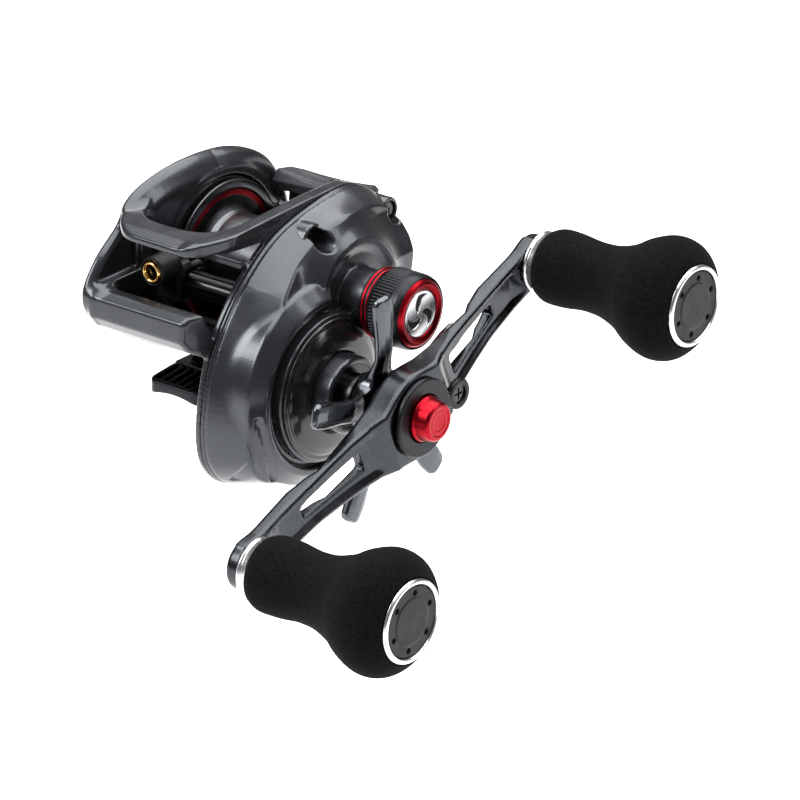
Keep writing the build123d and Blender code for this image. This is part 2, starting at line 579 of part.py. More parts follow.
with BuildPart() as level_wind_drive_gear:
    gear_disc(16.4, 18.0, TRAIN_TEETH[0], TRAIN_MODULE, train_phase, DRIVE)
    disc(18.0, 18.9, 4.0, at=DRIVE)
    for hole in range(5):
        disc(16.0, 18.2, 1.9, at=around(DRIVE, 6.6, train_phase + hole * tau / 5), mode=Mode.SUBTRACT)
    disc(16.0, 19.0, 2.5, at=DRIVE, mode=Mode.SUBTRACT)
save(level_wind_drive_gear.part, "level_wind_drive_gear")

with BuildPart() as main_gear:
    gear_disc(20.3, 23.5, MAIN_TEETH, MODULE, main_phase, DRIVE)
    disc(21.6, 24.0, 13.7, at=DRIVE, mode=Mode.SUBTRACT)
    disc(20.0, 22.0, 2.5, at=DRIVE, mode=Mode.SUBTRACT)
save(main_gear.part, "main_gear")

with BuildPart() as drag_carbon_washers:
    ring(19.8, 20.3, 6.0, 2.5, at=DRIVE)
    ring(21.6, 22.1, 13.3, 3.0, at=DRIVE)
save(drag_carbon_washers.part, "drag_carbon_washers")

with BuildPart() as drag_key_washer:
    ring(22.1, 23.0, 13.3, 2.5, at=DRIVE)
    for hole in range(6):
        disc(22.0, 23.2, 1.6, at=around(DRIVE, 9.6, hole * tau / 6), mode=Mode.SUBTRACT)
save(drag_key_washer.part, "drag_key_washer")

with BuildPart() as clutch_sleeve:
    ring(23.0, 24.0, 5.9, 2.5, at=DRIVE)
    ring(23.9, 36.4, 4.85, 2.5, at=DRIVE)
save(clutch_sleeve.part, "clutch_sleeve")

with BuildPart() as drag_spring_washers:
    for x, lean in ((36.5, 1), (37.2, -1)):
        inner, outer = (x, x + 0.3) if lean > 0 else (x + 0.3, x)
        turned([(inner, 2.4), (inner + 0.35, 2.4), (outer + 0.35, 5.6), (outer, 5.6)], DRIVE)
save(drag_spring_washers.part, "drag_spring_washers")

HUB_FRONT = 43.4
with BuildPart() as star_nut:
    with BuildSketch(Plane.YZ.offset(38.0)) as hexagon:
        with Locations(DRIVE):
            RegularPolygon(4.4, 6)
            Circle(2.3 + FIT, mode=Mode.SUBTRACT)
    extrude(hexagon.sketch, amount=3.2)
save(star_nut.part, "star_nut")

STAR_TIP = 25.5
ARM_SECTION = [(5.0, 39.6), (11.5, 42.9), (STAR_TIP - 0.6, 43.2), (STAR_TIP, 43.8),
               (STAR_TIP - 0.6, 45.0), (22.0, 45.3), (12.5, 44.9), (8.0, 43.6), (5.0, 43.4)]
with BuildPart() as star_drag:
    turned([(37.9, 4.5), (37.9, 6.0), (39.4, 7.2), (42.6, 7.2), (HUB_FRONT, 6.4), (HUB_FRONT, 2.7),
            (41.3, 2.7), (41.3, 4.5)], DRIVE)
    for number in range(STAR_ARMS):
        angle = STAR_FIRST_ARM + number * tau / STAR_ARMS
        outwards = (0, cos(angle), sin(angle))
        sideways = (0, sin(angle), -cos(angle))
        radial = Plane((0, DRIVE[0], DRIVE[1]), x_dir=outwards, z_dir=sideways)
        with BuildSketch(radial) as side_view:
            with BuildLine():
                Polyline(*ARM_SECTION, close=True)
            make_face()
        extrude(side_view.sketch, amount=2.8, both=True)
save(star_drag.part, "star_drag")

# ---------------------------------------------------------------------------
# Handle: double arm, nut with its retainer, knobs
# ---------------------------------------------------------------------------
LOBE = (-1.6, 4.9)           # retainer's screw lobe


def on_arm(along, across):
    """Point (y, z) at a distance along the handle arm and to one side of its middle line."""
    return (
        DRIVE[0] + along * arm_y - across * arm_z,
        DRIVE[1] + along * arm_z + across * arm_y,
    )


# Half of the arm from the side: distance from the crank shaft, then X
ARM_OUTER = [(9.5, 52.4), (13.0, 50.6), (24.0, 48.6), (40.0, 47.3), (58.0, 47.3)]
ARM_INNER = [(58.0, 43.7), (32.0, 43.7), (28.2, 44.4), (26.4, 46.2)]

with BuildPart() as handle_arm:
    with BuildSketch(Plane.YZ.offset(43.0)) as plan:
        with Locations(DRIVE):
            Circle(9.5)
        with Locations(LOBE):
            Circle(3.9)
        for side in (-1, 1):
            with BuildLine():
                Polyline(
                    on_arm(0, 9.0), on_arm(side * 13, 6.9), on_arm(side * CRANK, 5.6),
                    on_arm(side * CRANK, -5.6), on_arm(side * 13, -6.9), on_arm(0, -9.0), close=True,
                )
            make_face()
        for knob in (KNOB_REAR, KNOB_FRONT):
            with Locations(knob):
                Circle(5.6)
    extrude(plan.sketch, amount=9.4)
    side_plane = Plane((0, DRIVE[0], DRIVE[1]), x_dir=(0, arm_y, arm_z), z_dir=(0, arm_z, -arm_y))
    with BuildSketch(side_plane) as side_view:
        one_half = ARM_OUTER + ARM_INNER
        other_half = [(-along, x) for along, x in reversed(one_half)]
        with BuildLine():
            Polyline(*one_half, *other_half, close=True)
        make_face()
    extrude(side_view.sketch, amount=12, both=True, mode=Mode.INTERSECT)
    # One long window in each half of the arm
    for side in (-1, 1):
        window = [
            on_arm(side * 16, 2.4), on_arm(side * 34, 1.6),
            on_arm(side * 34, -1.6), on_arm(side * 16, -2.4),
        ]
        prism(window, 40, 56, mode=Mode.SUBTRACT)
    disc(40, 56, 2.0, at=DRIVE, mode=Mode.SUBTRACT)
    disc(50.0, 56, 1.0, at=LOBE, mode=Mode.SUBTRACT)
    for knob in (KNOB_REAR, KNOB_FRONT):
        disc(40, 56, 2.0, at=knob, mode=Mode.SUBTRACT)
        disc(40, 44.5, 3.2, at=knob, mode=Mode.SUBTRACT)
save(handle_arm.part, "handle_arm")

RETAINER_TOP = 53.8
with BuildPart() as nut_retainer:
    with BuildSketch(Plane.YZ.offset(NUT_SEAT)) as retainer_plan:
        with Locations(DRIVE):
            Circle(8.7)
        with Locations(LOBE):
            Circle(3.4)
        with Locations(DRIVE):
            Circle(5.15, mode=Mode.SUBTRACT)
        with Locations(LOBE):
            Circle(1.9, mode=Mode.SUBTRACT)
    extrude(retainer_plan.sketch, amount=RETAINER_TOP - NUT_SEAT)
save(nut_retainer.part, "nut_retainer")

with BuildPart() as retainer_screw:
    disc(50.2, NUT_SEAT, 1.0, at=LOBE)
    disc(NUT_SEAT, NUT_SEAT + 0.9, 1.8, at=LOBE)
    with Locations((NUT_SEAT + 1.0, LOBE[0], LOBE[1])):
        Box(1.0, 2.6, 0.5, mode=Mode.SUBTRACT)
        Box(1.0, 0.5, 2.6, mode=Mode.SUBTRACT)
save(retainer_screw.part, "retainer_screw")

with BuildPart() as handle_nut:
    turned([(NUT_SEAT, 2.0), (NUT_SEAT, 5.05), (54.4, 5.05), (55.0, 4.5), (57.0, 4.25), (57.7, 3.6),
            (57.7, 0), (56.4, 0), (56.4, 2.0)], DRIVE)
save(handle_nut.part, "handle_nut")

# Knob shafts are riveted into the arm, and each knob is held on by a screw
with BuildPart() as knob_shafts:
    for knob in (KNOB_REAR, KNOB_FRONT):
        disc(43.75, 44.5, 3.2, at=knob)
        disc(44.5, 82.8, 2.0, at=knob)
save(knob_shafts.part, "knob_shafts")

with BuildPart() as knob_screws:
    for knob in (KNOB_REAR, KNOB_FRONT):
        disc(82.8, 83.8, 3.0, at=knob)
        with BuildSketch(Plane.YZ.offset(83.3)) as socket:
            with Locations(knob):
                RegularPolygon(1.2, 6)
        extrude(socket.sketch, amount=1.0, mode=Mode.SUBTRACT)
save(knob_screws.part, "knob_screws")

# Foam grip: a small shoulder at the arm, a waist and a round head
GRIP = [(50.4, 7.4), (52.6, 8.2), (57.0, 8.1), (62.0, 7.6), (67.0, 8.0), (72.0, 9.7), (76.0, 12.0),
        (80.0, 13.35), (83.5, 13.0), (86.0, 11.3), (87.6, 9.2)]
END_RING = 8.9
for place, knob in (("rear", KNOB_REAR), ("front", KNOB_FRONT)):
    with BuildPart() as knob_sleeve:
        turned([(KNOB_BASE, 4.2), (KNOB_BASE, 6.3), (48.0, 6.8), (49.4, 6.8), (50.4, 7.2), (50.4, 6.0),
                (86.0, 6.0), (86.0, 4.2)], knob)
    save(knob_sleeve.part, f"{place}_knob_sleeve")

    with BuildPart() as knob_grip:
        with BuildSketch(axial(knob)) as grip_section:
            with BuildLine():
                Spline(*GRIP)
                Polyline(GRIP[-1], (86.8, 8.0), (86.0, 6.0), (50.4, 6.0), GRIP[0])
            make_face()
        revolve(grip_section.sketch, Axis((0, knob[0], knob[1]), (1, 0, 0)))
    save(knob_grip.part, f"{place}_knob_grip")

    with BuildPart() as knob_end_ring:
        turned([(86.0, 5.2), (86.0, 6.0), (86.8, 8.0), (87.6, END_RING), (88.2, END_RING - 0.2),
                (KNOB_END, 8.3), (88.0, 7.8), (87.0, 7.7), (87.0, 5.2)], knob)
    save(knob_end_ring.part, f"{place}_knob_end_ring")

    with BuildPart() as knob_cap:
        turned([(87.0, 0), (87.0, 7.65), (87.9, 7.65), (88.0, 7.2), (88.0, 0)], knob)
        for hole in range(6):
            disc(87.4, 89.0, 0.7, at=around(knob, 5.9, hole * tau / 6), mode=Mode.SUBTRACT)
    save(knob_cap.part, f"{place}_knob_cap")

    with BuildPart() as knob_bearings:
        for x in (48.2, 80.0):
            ring(x, x + 2.5, 4.2, 2.0 + FIT, at=knob)
            ring(x, x + 0.2, 3.6, 2.6, at=knob, mode=Mode.SUBTRACT)
            ring(x + 2.3, x + 2.5, 3.6, 2.6, at=knob, mode=Mode.SUBTRACT)
    save(knob_bearings.part, f"{place}_knob_bearings")

# ---------------------------------------------------------------------------
# Spool, its shaft, brake and cast-control knob
# ---------------------------------------------------------------------------
with BuildPart() as spool_body:
    outer_half = [(SPOOL_HALF, 15.2), (SPOOL_HALF, FLANGE_RADIUS), (10.7, FLANGE_RADIUS),
                  (10.7, 15.95), (11.15, 15.8), (11.15, 15.2), (10.6, 11.6),
                  (10.0, ARBOR_RADIUS + 0.9), (8.6, ARBOR_RADIUS)]
    inner_half = [(9.0, SHAFT_RADIUS), (9.0, 3.4), (1.0, 3.4), (1.0, 9.1), (11.4, 9.1)]
    outer_palm = [(-x, radius) for x, radius in reversed(outer_half)]
    inner_palm = [(-x, radius) for x, radius in reversed(inner_half)]
    turned(outer_half + outer_palm + inner_palm + inner_half, SPOOL)
save(spool_body.part, "spool_body")

with BuildPart() as spool_shaft:
    disc(-18.5, 32.6, SHAFT_RADIUS)
    with Locations(Location((13.1, 0, SPOOL_HEIGHT), (90, 0, 0))):
        Cylinder(0.6, 10, mode=Mode.SUBTRACT)
save(spool_shaft.part, "spool_shaft")

# Cross pin that the pinion's slot drives
with BuildPart() as clutch_pin:
    with Locations(Location((13.1, 0, SPOOL_HEIGHT), (90, 0, 0))):
        Cylinder(0.6, 4.8)
save(clutch_pin.part, "clutch_pin")

with BuildPart() as brake_rotor:
    ring(-13.6, -12.2, 3.6, SHAFT_RADIUS)
    ring(-13.2, -12.5, 9.2, 3.4)
    for arm in range(6):
        with Locations(Location((0, 0, SPOOL_HEIGHT), (60 * arm, 0, 0))):
            with Locations((-13.9, 0, 6.3)):
                Box(1.4, 1.1, 5.0)
save(brake_rotor.part, "brake_rotor")

with BuildPart() as brake_blocks:
    for arm in range(6):
        with Locations(Location((0, 0, SPOOL_HEIGHT), (60 * arm, 0, 0))):
            with Locations((-14.0, 0, 9.65)):
                Box(1.6, 2.0, 1.7)
save(brake_blocks.part, "brake_blocks")

KNOB_SKIRT = 31.0
KNOB_FACE = 41.9
with BuildPart() as cast_knob:
    turned([(KNOB_SKIRT, 6.3 + FIT), (KNOB_SKIRT, 7.5), (33.6, 7.5), (34.0, 8.3), (40.6, 8.3),
            (KNOB_FACE, 7.9), (KNOB_FACE, 7.6), (41.2, 7.6), (41.2, 0), (33.0, 0), (33.0, 1.3),
            (35.9, 1.3), (35.9, 6.3 + FIT)], SPOOL)
save(cast_knob.part, "cast_knob")

with BuildPart() as cast_knob_trim_rings:
    turned([(41.2, 5.2), (41.2, 7.6), (41.9, 7.55), (42.5, 6.6), (42.3, 5.2)], SPOOL)
    ring(31.7, 32.3, 7.75, 7.5)
    ring(32.9, 33.3, 7.75, 7.5)
save(cast_knob_trim_rings.part, "cast_knob_trim_rings")

with BuildPart() as cast_knob_badge:
    disc(41.2, 42.0, 5.15)
save(cast_knob_badge.part, "cast_knob_badge")
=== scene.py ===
import json
from math import ceil, cos, hypot, pi, radians, sin, tau

import bpy
import numpy as np
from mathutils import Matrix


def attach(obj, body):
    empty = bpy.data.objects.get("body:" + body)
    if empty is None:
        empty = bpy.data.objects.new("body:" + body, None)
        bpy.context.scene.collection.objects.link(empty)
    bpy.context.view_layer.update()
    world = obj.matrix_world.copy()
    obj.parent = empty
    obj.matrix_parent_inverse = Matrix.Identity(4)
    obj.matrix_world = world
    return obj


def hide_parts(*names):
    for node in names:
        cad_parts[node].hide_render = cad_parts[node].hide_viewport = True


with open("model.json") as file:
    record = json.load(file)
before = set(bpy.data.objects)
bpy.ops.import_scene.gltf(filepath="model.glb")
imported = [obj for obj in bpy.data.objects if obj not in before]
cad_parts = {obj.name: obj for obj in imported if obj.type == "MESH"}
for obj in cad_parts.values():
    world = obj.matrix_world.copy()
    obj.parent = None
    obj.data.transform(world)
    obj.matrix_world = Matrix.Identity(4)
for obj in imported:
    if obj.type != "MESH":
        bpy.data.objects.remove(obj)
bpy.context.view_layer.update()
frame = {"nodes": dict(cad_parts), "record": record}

import openvdb
from mathutils import Vector

MM = 0.001

# ---------------------------------------------------------------------------
# The reel's driving dimensions, in millimetres, as in the CAD model.
# Axes along X and side outlines are (y, z), plan outlines (x, y).
# ---------------------------------------------------------------------------
SPOOL = (0.0, 19.5)
DRIVE = (-13.45, 3.464)      # crank shaft
WORM = (-22.0, 22.5)
CRANK = 51.0                 # crank shaft to knob
CRANK_ANGLE = radians(21.32)
ARM_Y = cos(CRANK_ANGLE)
ARM_Z = sin(CRANK_ANGLE)
KNOB_REAR = (DRIVE[0] + CRANK * ARM_Y, DRIVE[1] + CRANK * ARM_Z)
KNOB_FRONT = (DRIVE[0] - CRANK * ARM_Y, DRIVE[1] - CRANK * ARM_Z)
WELL_RADIUS = 17.4           # room for the spool
PALM_IN = -12.3              # both faces of the palm-side wall
PALM_OUT = -16.8
WALL_IN = 12.2               # inner face of the gear-side wall
SEAM = 13.5                  # where the side plate meets the frame
LOBE = (-1.6, 4.9)           # retainer's screw
EYE = (-5.4, -31.0, 26.7)    # front of the line guide, as (x, y, z)
KNOB_BASE = 47.4
LOCK_Z = 5.5                 # slot of the palm cover's lock
FOOT_HALF_WIDTH = 7.3
FOOT_HALF_LENGTH = 31.2
ROD_RADIUS = 20.0            # curve under the foot

SEAM_OUTLINE = [
    (10.7, 38.4), (0.0, 38.0), (-13.5, 34.7), (-23.5, 28.2), (-31.2, 19.7),
    (-36.0, 10.5), (-38.3, -2.0), (-36.5, -11.0), (-29.0, -17.3), (-14.0, -19.0),
    (1.0, -13.5), (12.0, -1.0), (20.5, 12.0), (23.6, 24.0), (19.5, 34.0),
]
PALM_OUTLINE = [
    (5.0, 42.0), (-11.0, 43.0), (-24.5, 40.2), (-29.8, 34.4), (-36.8, 28.8),
    (-41.0, 22.0), (-38.0, 15.2), (-26.0, 7.0), (-12.0, 0.2), (3.0, -3.3),
    (15.0, 1.5), (22.5, 12.0), (23.7, 24.0), (17.0, 36.3),
]
PLATE_SCREWS = [(-7.6, 33.2), (17.6, 31.6), (-33.0, -7.0), (5.5, -4.5)]
HIDDEN_SCREW = 2             # this one has no recess, as it sits under the plate's skin
YOKE_POSTS = [(-6.9, 25.28), (6.9, 13.72)]
COWL_PLAN = [
    (-16.2, -26.5), (-14.8, -29.6), (-12.4, -32.8), (-8.6, -35.8), (7.0, -36.0), (10.2, -33.4),
    (13.4, -26.5), (13.4, 14.8), (9.7, 14.8), (9.7, 8.4), (9.4, -21.0), (8.4, -24.6), (6.4, -27.0),
    (3.0, -28.3), (-2.0, -28.8), (-7.5, -28.6), (-11.2, -26.6), (-12.8, -23.0), (-15.5, -22.0),
]
COWL_OUTSIDE = [
    (-15.0, -36.0), (7.0, -36.0), (10.2, -33.4), (13.4, -26.5), (13.4, 14.8), (-15.0, 14.8),
]
NOSE = [
    (-38.4, 22.3), (-39.7, 21.5), (-40.0, 18.2), (-38.5, 16.2), (-16.0, 4.5),
    (-12.2, 5.1), (-15.6, 8.9), (-33.8, 15.6), (-36.6, 22.3),
]
CROSS_BAR = [(-21.8, 30.2), (-22.0, 28.6), (-19.6, 28.2), (-19.4, 29.8)]
BAR = [(16.2, 29.7), (16.0, 31.7), (18.0, 33.9), (22.2, 33.1), (24.2, 30.9), (22.0, 29.3)]
BAR_RISE = 0.074             # the thumb bar climbs towards the handle side
APRON = [(22.4, 31.5), (21.8, 24.5), (22.8, 24.5), (24.0, 30.0)]


# ---------------------------------------------------------------------------
# Shapes as signed distances, for the cast and moulded pieces
# ---------------------------------------------------------------------------
FAR = 1e9
BAND_CELLS = 3               # grid cells kept on either side of a surface


def squared_distance(start, end, u, v):
    """Square of the distance from the straight line between two points."""
    du = end[0] - start[0]
    dv = end[1] - start[1]
    along = np.clip(((u - start[0]) * du + (v - start[1]) * dv) / (du * du + dv * dv), 0, 1)
    return (u - start[0] - along * du) ** 2 + (v - start[1] - along * dv) ** 2


def outline_distance(points, u, v):
    """Signed distance from a closed outline, less than zero inside it."""
    u, v = np.broadcast_arrays(u, v)
    best = np.full(u.shape, FAR, dtype=np.float32)
    inside = np.zeros(u.shape, dtype=bool)
    for start, end in zip(points, points[1:] + points[:1]):
        best = np.minimum(best, squared_distance(start, end, u, v))
        du = end[0] - start[0]
        dv = end[1] - start[1]
        if dv:
            level = (start[1] > v) != (end[1] > v)
            inside ^= level & (u < start[0] + (v - start[1]) * du / dv)
    return np.where(inside, -1, 1) * np.sqrt(best)


def path_distance(points, u, v):
    """Distance from an open line of points."""
    u, v = np.broadcast_arrays(u, v)
    best = np.full(u.shape, FAR, dtype=np.float32)
    for start, end in zip(points, points[1:]):
        best = np.minimum(best, squared_distance(start, end, u, v))
    return np.sqrt(best)


def curved(points, closed=True, pieces=8):
    """A smooth line through the points (Catmull-Rom)."""
    count = len(points)
    found = []
    for number in range(count if closed else count - 1):
        places = [number + k for k in (-1, 0, 1, 2)]
        if closed:
            near = [points[place % count] for place in places]
        else:
            near = [points[min(max(place, 0), count - 1)] for place in places]
        for step in range(pieces):
            t = step / pieces
            found.append(tuple(
                0.5 * (
                    2 * q + (r - p) * t
                    + (2 * p - 5 * q + 4 * r - s) * t ** 2
                    + (3 * q - p - 3 * r + s) * t ** 3
                )
                for p, q, r, s in zip(*near)
            ))
    if not closed:
        found.append(points[-1])
    return found


def join(a, b, blend=0.01):
    """Union, with a fillet of about the blend's size."""
    mix = np.clip(0.5 + 0.5 * (b - a) / blend, 0, 1)
    return b + (a - b) * mix - blend * mix * (1 - mix)


def keep(a, b, blend=0.01):
    """The part of a inside b, with rounded edges."""
    return -join(-a, -b, blend)


def cut(a, b, blend=0.01):
    """a without b, with rounded edges."""
    return keep(a, -b, blend)


class Space:
    """A block of space sampled on a grid, in millimetres."""

    def __init__(self, low, high, step=0.25):
        self.low = low
        self.step = step
        counts = [int(ceil((b - a) / step)) + 1 for a, b in zip(low, high)]
        lines = [a + step * np.arange(count, dtype=np.float32) for a, count in zip(low, counts)]
        self.x = lines[0][:, None, None]
        self.y = lines[1][None, :, None]
        self.z = lines[2][None, None, :]

    def side(self, points):
        """Distance from an outline given as (y, z)."""
        return outline_distance(points, self.y, self.z)

    def plan(self, points):
        """Distance from an outline given as (x, y)."""
        return outline_distance(points, self.x, self.y)

    def away(self, at):
        """Distance from the axis along X through (y, z)."""
        return np.hypot(self.y - at[0], self.z - at[1])

    def slab(self, distance, low, high, rounding=0.0):
        """A flat shape made solid from x = low to x = high."""
        across = np.abs(self.x - (low + high) / 2) - (high - low) / 2
        a = distance + rounding
        b = across + rounding
        outside = np.hypot(np.maximum(a, 0), np.maximum(b, 0))
        return np.minimum(np.maximum(a, b), 0) + outside - rounding

    def disc(self, low, high, radius, at=SPOOL, rounding=0.0):
        return self.slab(self.away(at) - radius, low, high, rounding)

    def block(self, x, y, z, rounding=0.0):
        """Box from pairs of limits."""
        sides = []
        for line, (low, high) in zip((self.x, self.y, self.z), (x, y, z)):
            sides.append(np.abs(line - (low + high) / 2) - (high - low) / 2 + rounding)
        a, b, c = np.broadcast_arrays(*sides)
        outside = np.sqrt(np.maximum(a, 0) ** 2 + np.maximum(b, 0) ** 2 + np.maximum(c, 0) ** 2)
        return np.minimum(np.maximum(np.maximum(a, b), c), 0) + outside - rounding

    def turned(self, points, at=SPOOL):
        """Solid of revolution with its section given as (x, radius)."""
        return outline_distance(points, self.x, self.away(at))

    def mesh(self, name, distance):
        """Mesh of the surface where the distance is zero."""
        full = np.broadcast_to(distance, (self.x.size, self.y.size, self.z.size))
        band = BAND_CELLS * self.step
        grid = openvdb.FloatGrid(band)
        grid.copyFromArray(np.clip(full, -band, band).astype(np.float32))
        points, triangles, quads = grid.convertToPolygons(isovalue=0.0, adaptivity=0.0)
        points = (points * self.step + np.array(self.low)) * MM
        faces = [tuple(face) for face in quads.tolist() + triangles.tolist()]
        mesh = bpy.data.meshes.new(name)
        mesh.from_pydata(points.tolist(), [], faces)
        mesh.update()
        turn_outwards(mesh)
        return mesh


def turn_outwards(mesh):
    """Flips the faces of a closed mesh whose faces look inwards."""
    corners = np.empty(len(mesh.vertices) * 3)
    mesh.vertices.foreach_get("co", corners)
    corners = corners.reshape(-1, 3)
    mesh.calc_loop_triangles()
    triples = np.empty(len(mesh.loop_triangles) * 3, dtype=np.int64)
    mesh.loop_triangles.foreach_get("vertices", triples)
    a, b, c = (corners[triples.reshape(-1, 3)[:, k]] for k in range(3))
    if np.einsum("ij,ij->i", a, np.cross(b, c)).sum() < 0:
        mesh.flip_normals()


def softened(points, radius, pieces=4):
    """An outline with its corners turned into short curves."""
    found = []
    count = len(points)
    for number, corner in enumerate(points):
        ends = []
        for other in (points[number - 1], points[(number + 1) % count]):
            reach = hypot(other[0] - corner[0], other[1] - corner[1])
            share = min(radius, 0.45 * reach) / reach
            ends.append(tuple(c + (o - c) * share for c, o in zip(corner, other)))
        for step in range(pieces + 1):
            t = step / pieces
            found.append(tuple(
                (1 - t) ** 2 * p + 2 * t * (1 - t) * q + t * t * r
                for p, q, r in zip(ends[0], corner, ends[1])
            ))
    return found


def wrapped_mesh(name, verts, rows, segments):
    """Closed mesh from rows of vertices, joined around and from the last row to the first."""
    faces = []
    for row in range(rows):
        below = row * segments
        above = ((row + 1) % rows) * segments
        for number in range(segments):
            after = (number + 1) % segments
            faces.append((below + number, below + after, above + after, above + number))
    mesh = bpy.data.meshes.new(name)
    mesh.from_pydata(verts, [], faces)
    mesh.update()
    turn_outwards(mesh)
    return mesh


def lathe(name, section, at, segments=192, radius_at=None):
    """Mesh turned about the axis along X through (y, z), from a closed section of (x, radius)."""
    verts = []
    for x, radius in section:
        for number in range(segments):
            angle = tau * number / segments
            r = radius_at(x, radius, angle) if radius_at else radius
            verts.append((x * MM, (at[0] + r * cos(angle)) * MM, (at[1] + r * sin(angle)) * MM))
    return wrapped_mesh(name, verts, len(section), segments)


# ---------------------------------------------------------------------------
# Materials
# ---------------------------------------------------------------------------
class Paint:
    """A node material built up step by step."""

    def __init__(self, name, base, metallic=0.0, roughness=0.4, **sockets):
        self.material = bpy.data.materials.new(name)
        self.material.use_nodes = True
        self.nodes = self.material.node_tree.nodes
        self.links = self.material.node_tree.links
        self.shader = self.nodes["Principled BSDF"]
        self.shader.inputs["Base Color"].default_value = (*base, 1)
        self.shader.inputs["Metallic"].default_value = metallic
        self.shader.inputs["Roughness"].default_value = roughness
        for socket, value in sockets.items():
            self.shader.inputs[socket.replace("_", " ")].default_value = value
        self.place = self.nodes.new("ShaderNodeTexCoord").outputs["Object"]

    def noise(self, scale, detail=3.0, roughness=0.5):
        """Noise with a scale in features per metre."""
        node = self.nodes.new("ShaderNodeTexNoise")
        node.inputs["Scale"].default_value = scale
        node.inputs["Detail"].default_value = detail
        node.inputs["Roughness"].default_value = roughness
        self.links.new(self.place, node.inputs["Vector"])
        return node.outputs["Fac"]

    def grains(self, scale):
        """Cells of random shades, in cells per metre."""
        node = self.nodes.new("ShaderNodeTexVoronoi")
        node.inputs["Scale"].default_value = scale
        self.links.new(self.place, node.inputs["Vector"])
        return node.outputs["Color"]

    def tint(self, source, darker, lighter, start=0.35, end=0.65):
        """Base colour that wanders between two shades."""
        node = self.nodes.new("ShaderNodeValToRGB")
        node.color_ramp.elements[0].position = start
        node.color_ramp.elements[1].position = end
        node.color_ramp.elements[0].color = (*darker, 1)
        node.color_ramp.elements[1].color = (*lighter, 1)
        self.links.new(source, node.inputs["Fac"])
        self.links.new(node.outputs["Color"], self.shader.inputs["Base Color"])

    def gloss(self, source, low, high):
        """Roughness that wanders from low to high over the middle of the noise."""
        node = self.nodes.new("ShaderNodeMapRange")
        node.inputs["From Min"].default_value = 0.3
        node.inputs["From Max"].default_value = 0.7
        node.inputs["To Min"].default_value = low
        node.inputs["To Max"].default_value = high
        self.links.new(source, node.inputs["Value"])
        self.links.new(node.outputs["Result"], self.shader.inputs["Roughness"])

    def bump(self, source, distance, strength):
        """Relief with its full height in metres."""
        node = self.nodes.new("ShaderNodeBump")
        node.inputs["Distance"].default_value = distance
        node.inputs["Strength"].default_value = strength
        self.links.new(source, node.inputs["Height"])
        self.links.new(node.outputs["Normal"], self.shader.inputs["Normal"])


def scaled(colour, factor):
    return tuple(channel * factor for channel in colour)


def metallic_paint(name, colour, roughness):
    """Sprayed metallic paint: fine flakes, a little haze, a clear coat."""
    paint = Paint(
        name, colour, metallic=0.75, roughness=roughness, Coat_Weight=0.3, Coat_Roughness=0.1
    )
    paint.tint(paint.grains(9000), scaled(colour, 0.82), scaled(colour, 1.2), 0.2, 0.9)
    paint.gloss(paint.noise(160, 4), roughness - 0.05, roughness + 0.06)
    paint.bump(paint.noise(5200, 2), 0.000004, 0.35)
    return paint.material


def gloss_lacquer(name, colour):
    """Black lacquer with a slight orange peel."""
    paint = Paint(
        name, colour, roughness=0.18, Specular_IOR_Level=0.35, Coat_Weight=0.15, Coat_Roughness=0.05
    )
    paint.tint(paint.noise(900), scaled(colour, 0.8), scaled(colour, 1.3))
    paint.gloss(paint.noise(120, 5), 0.12, 0.2)
    paint.bump(paint.noise(700, 2), 0.000005, 0.3)
    return paint.material


def anodised(name, colour, roughness):
    """Dyed anodised aluminium with a fine blasted grain."""
    paint = Paint(name, colour, metallic=1.0, roughness=roughness)
    paint.tint(paint.noise(2600, 3), scaled(colour, 0.85), scaled(colour, 1.15))
    paint.gloss(paint.noise(240, 4), roughness - 0.05, roughness + 0.07)
    paint.bump(paint.noise(9000, 2), 0.000005, 0.4)
    return paint.material


def turned_metal(name, colour, roughness):
    """Bright metal off a lathe or a grinder."""
    paint = Paint(name, colour, metallic=1.0, roughness=roughness)
    paint.tint(paint.noise(1500, 3), scaled(colour, 0.94), scaled(colour, 1.04))
    paint.gloss(paint.noise(2500, 3), roughness - 0.03, roughness + 0.04)
    paint.bump(paint.noise(6000, 2), 0.000002, 0.25)
    return paint.material


def moulded(name, colour, roughness):
    """Moulded plastic with a fine spark-eroded texture."""
    paint = Paint(name, colour, roughness=roughness, Specular_IOR_Level=0.2)
    paint.tint(paint.noise(800, 4), scaled(colour, 0.85), scaled(colour, 1.2))
    paint.gloss(paint.noise(300, 4), roughness - 0.06, roughness + 0.08)
    paint.bump(paint.noise(5200, 2), 0.000012, 0.5)
    return paint.material


def foam(name):
    """Sanded closed-cell foam: matte, with fine open pores and a little fuzz."""
    paint = Paint(
        name, (0.004, 0.004, 0.004), roughness=0.95, Sheen_Weight=0.015, Sheen_Roughness=0.6,
        Specular_IOR_Level=0.04,
    )
    paint.shader.inputs["Sheen Tint"].default_value = (0.55, 0.57, 0.6, 1)
    paint.tint(paint.noise(1900, 6, 0.7), (0.001, 0.001, 0.0011), (0.0062, 0.0062, 0.0066))
    paint.gloss(paint.noise(900, 4), 0.86, 0.97)
    paint.bump(paint.noise(2300, 8, 0.75), 0.00012, 0.7)
    return paint.material


def carbon(name):
    """Woven fibre of the drag's washers."""
    paint = Paint(name, (0.03, 0.03, 0.03), roughness=0.4)
    weave = paint.nodes.new("ShaderNodeTexChecker")
    weave.inputs["Scale"].default_value = 900
    paint.links.new(paint.place, weave.inputs["Vector"])
    paint.tint(weave.outputs["Fac"], (0.02, 0.02, 0.02), (0.06, 0.06, 0.06))
    paint.bump(weave.outputs["Fac"], 0.00003, 0.5)
    return paint.material


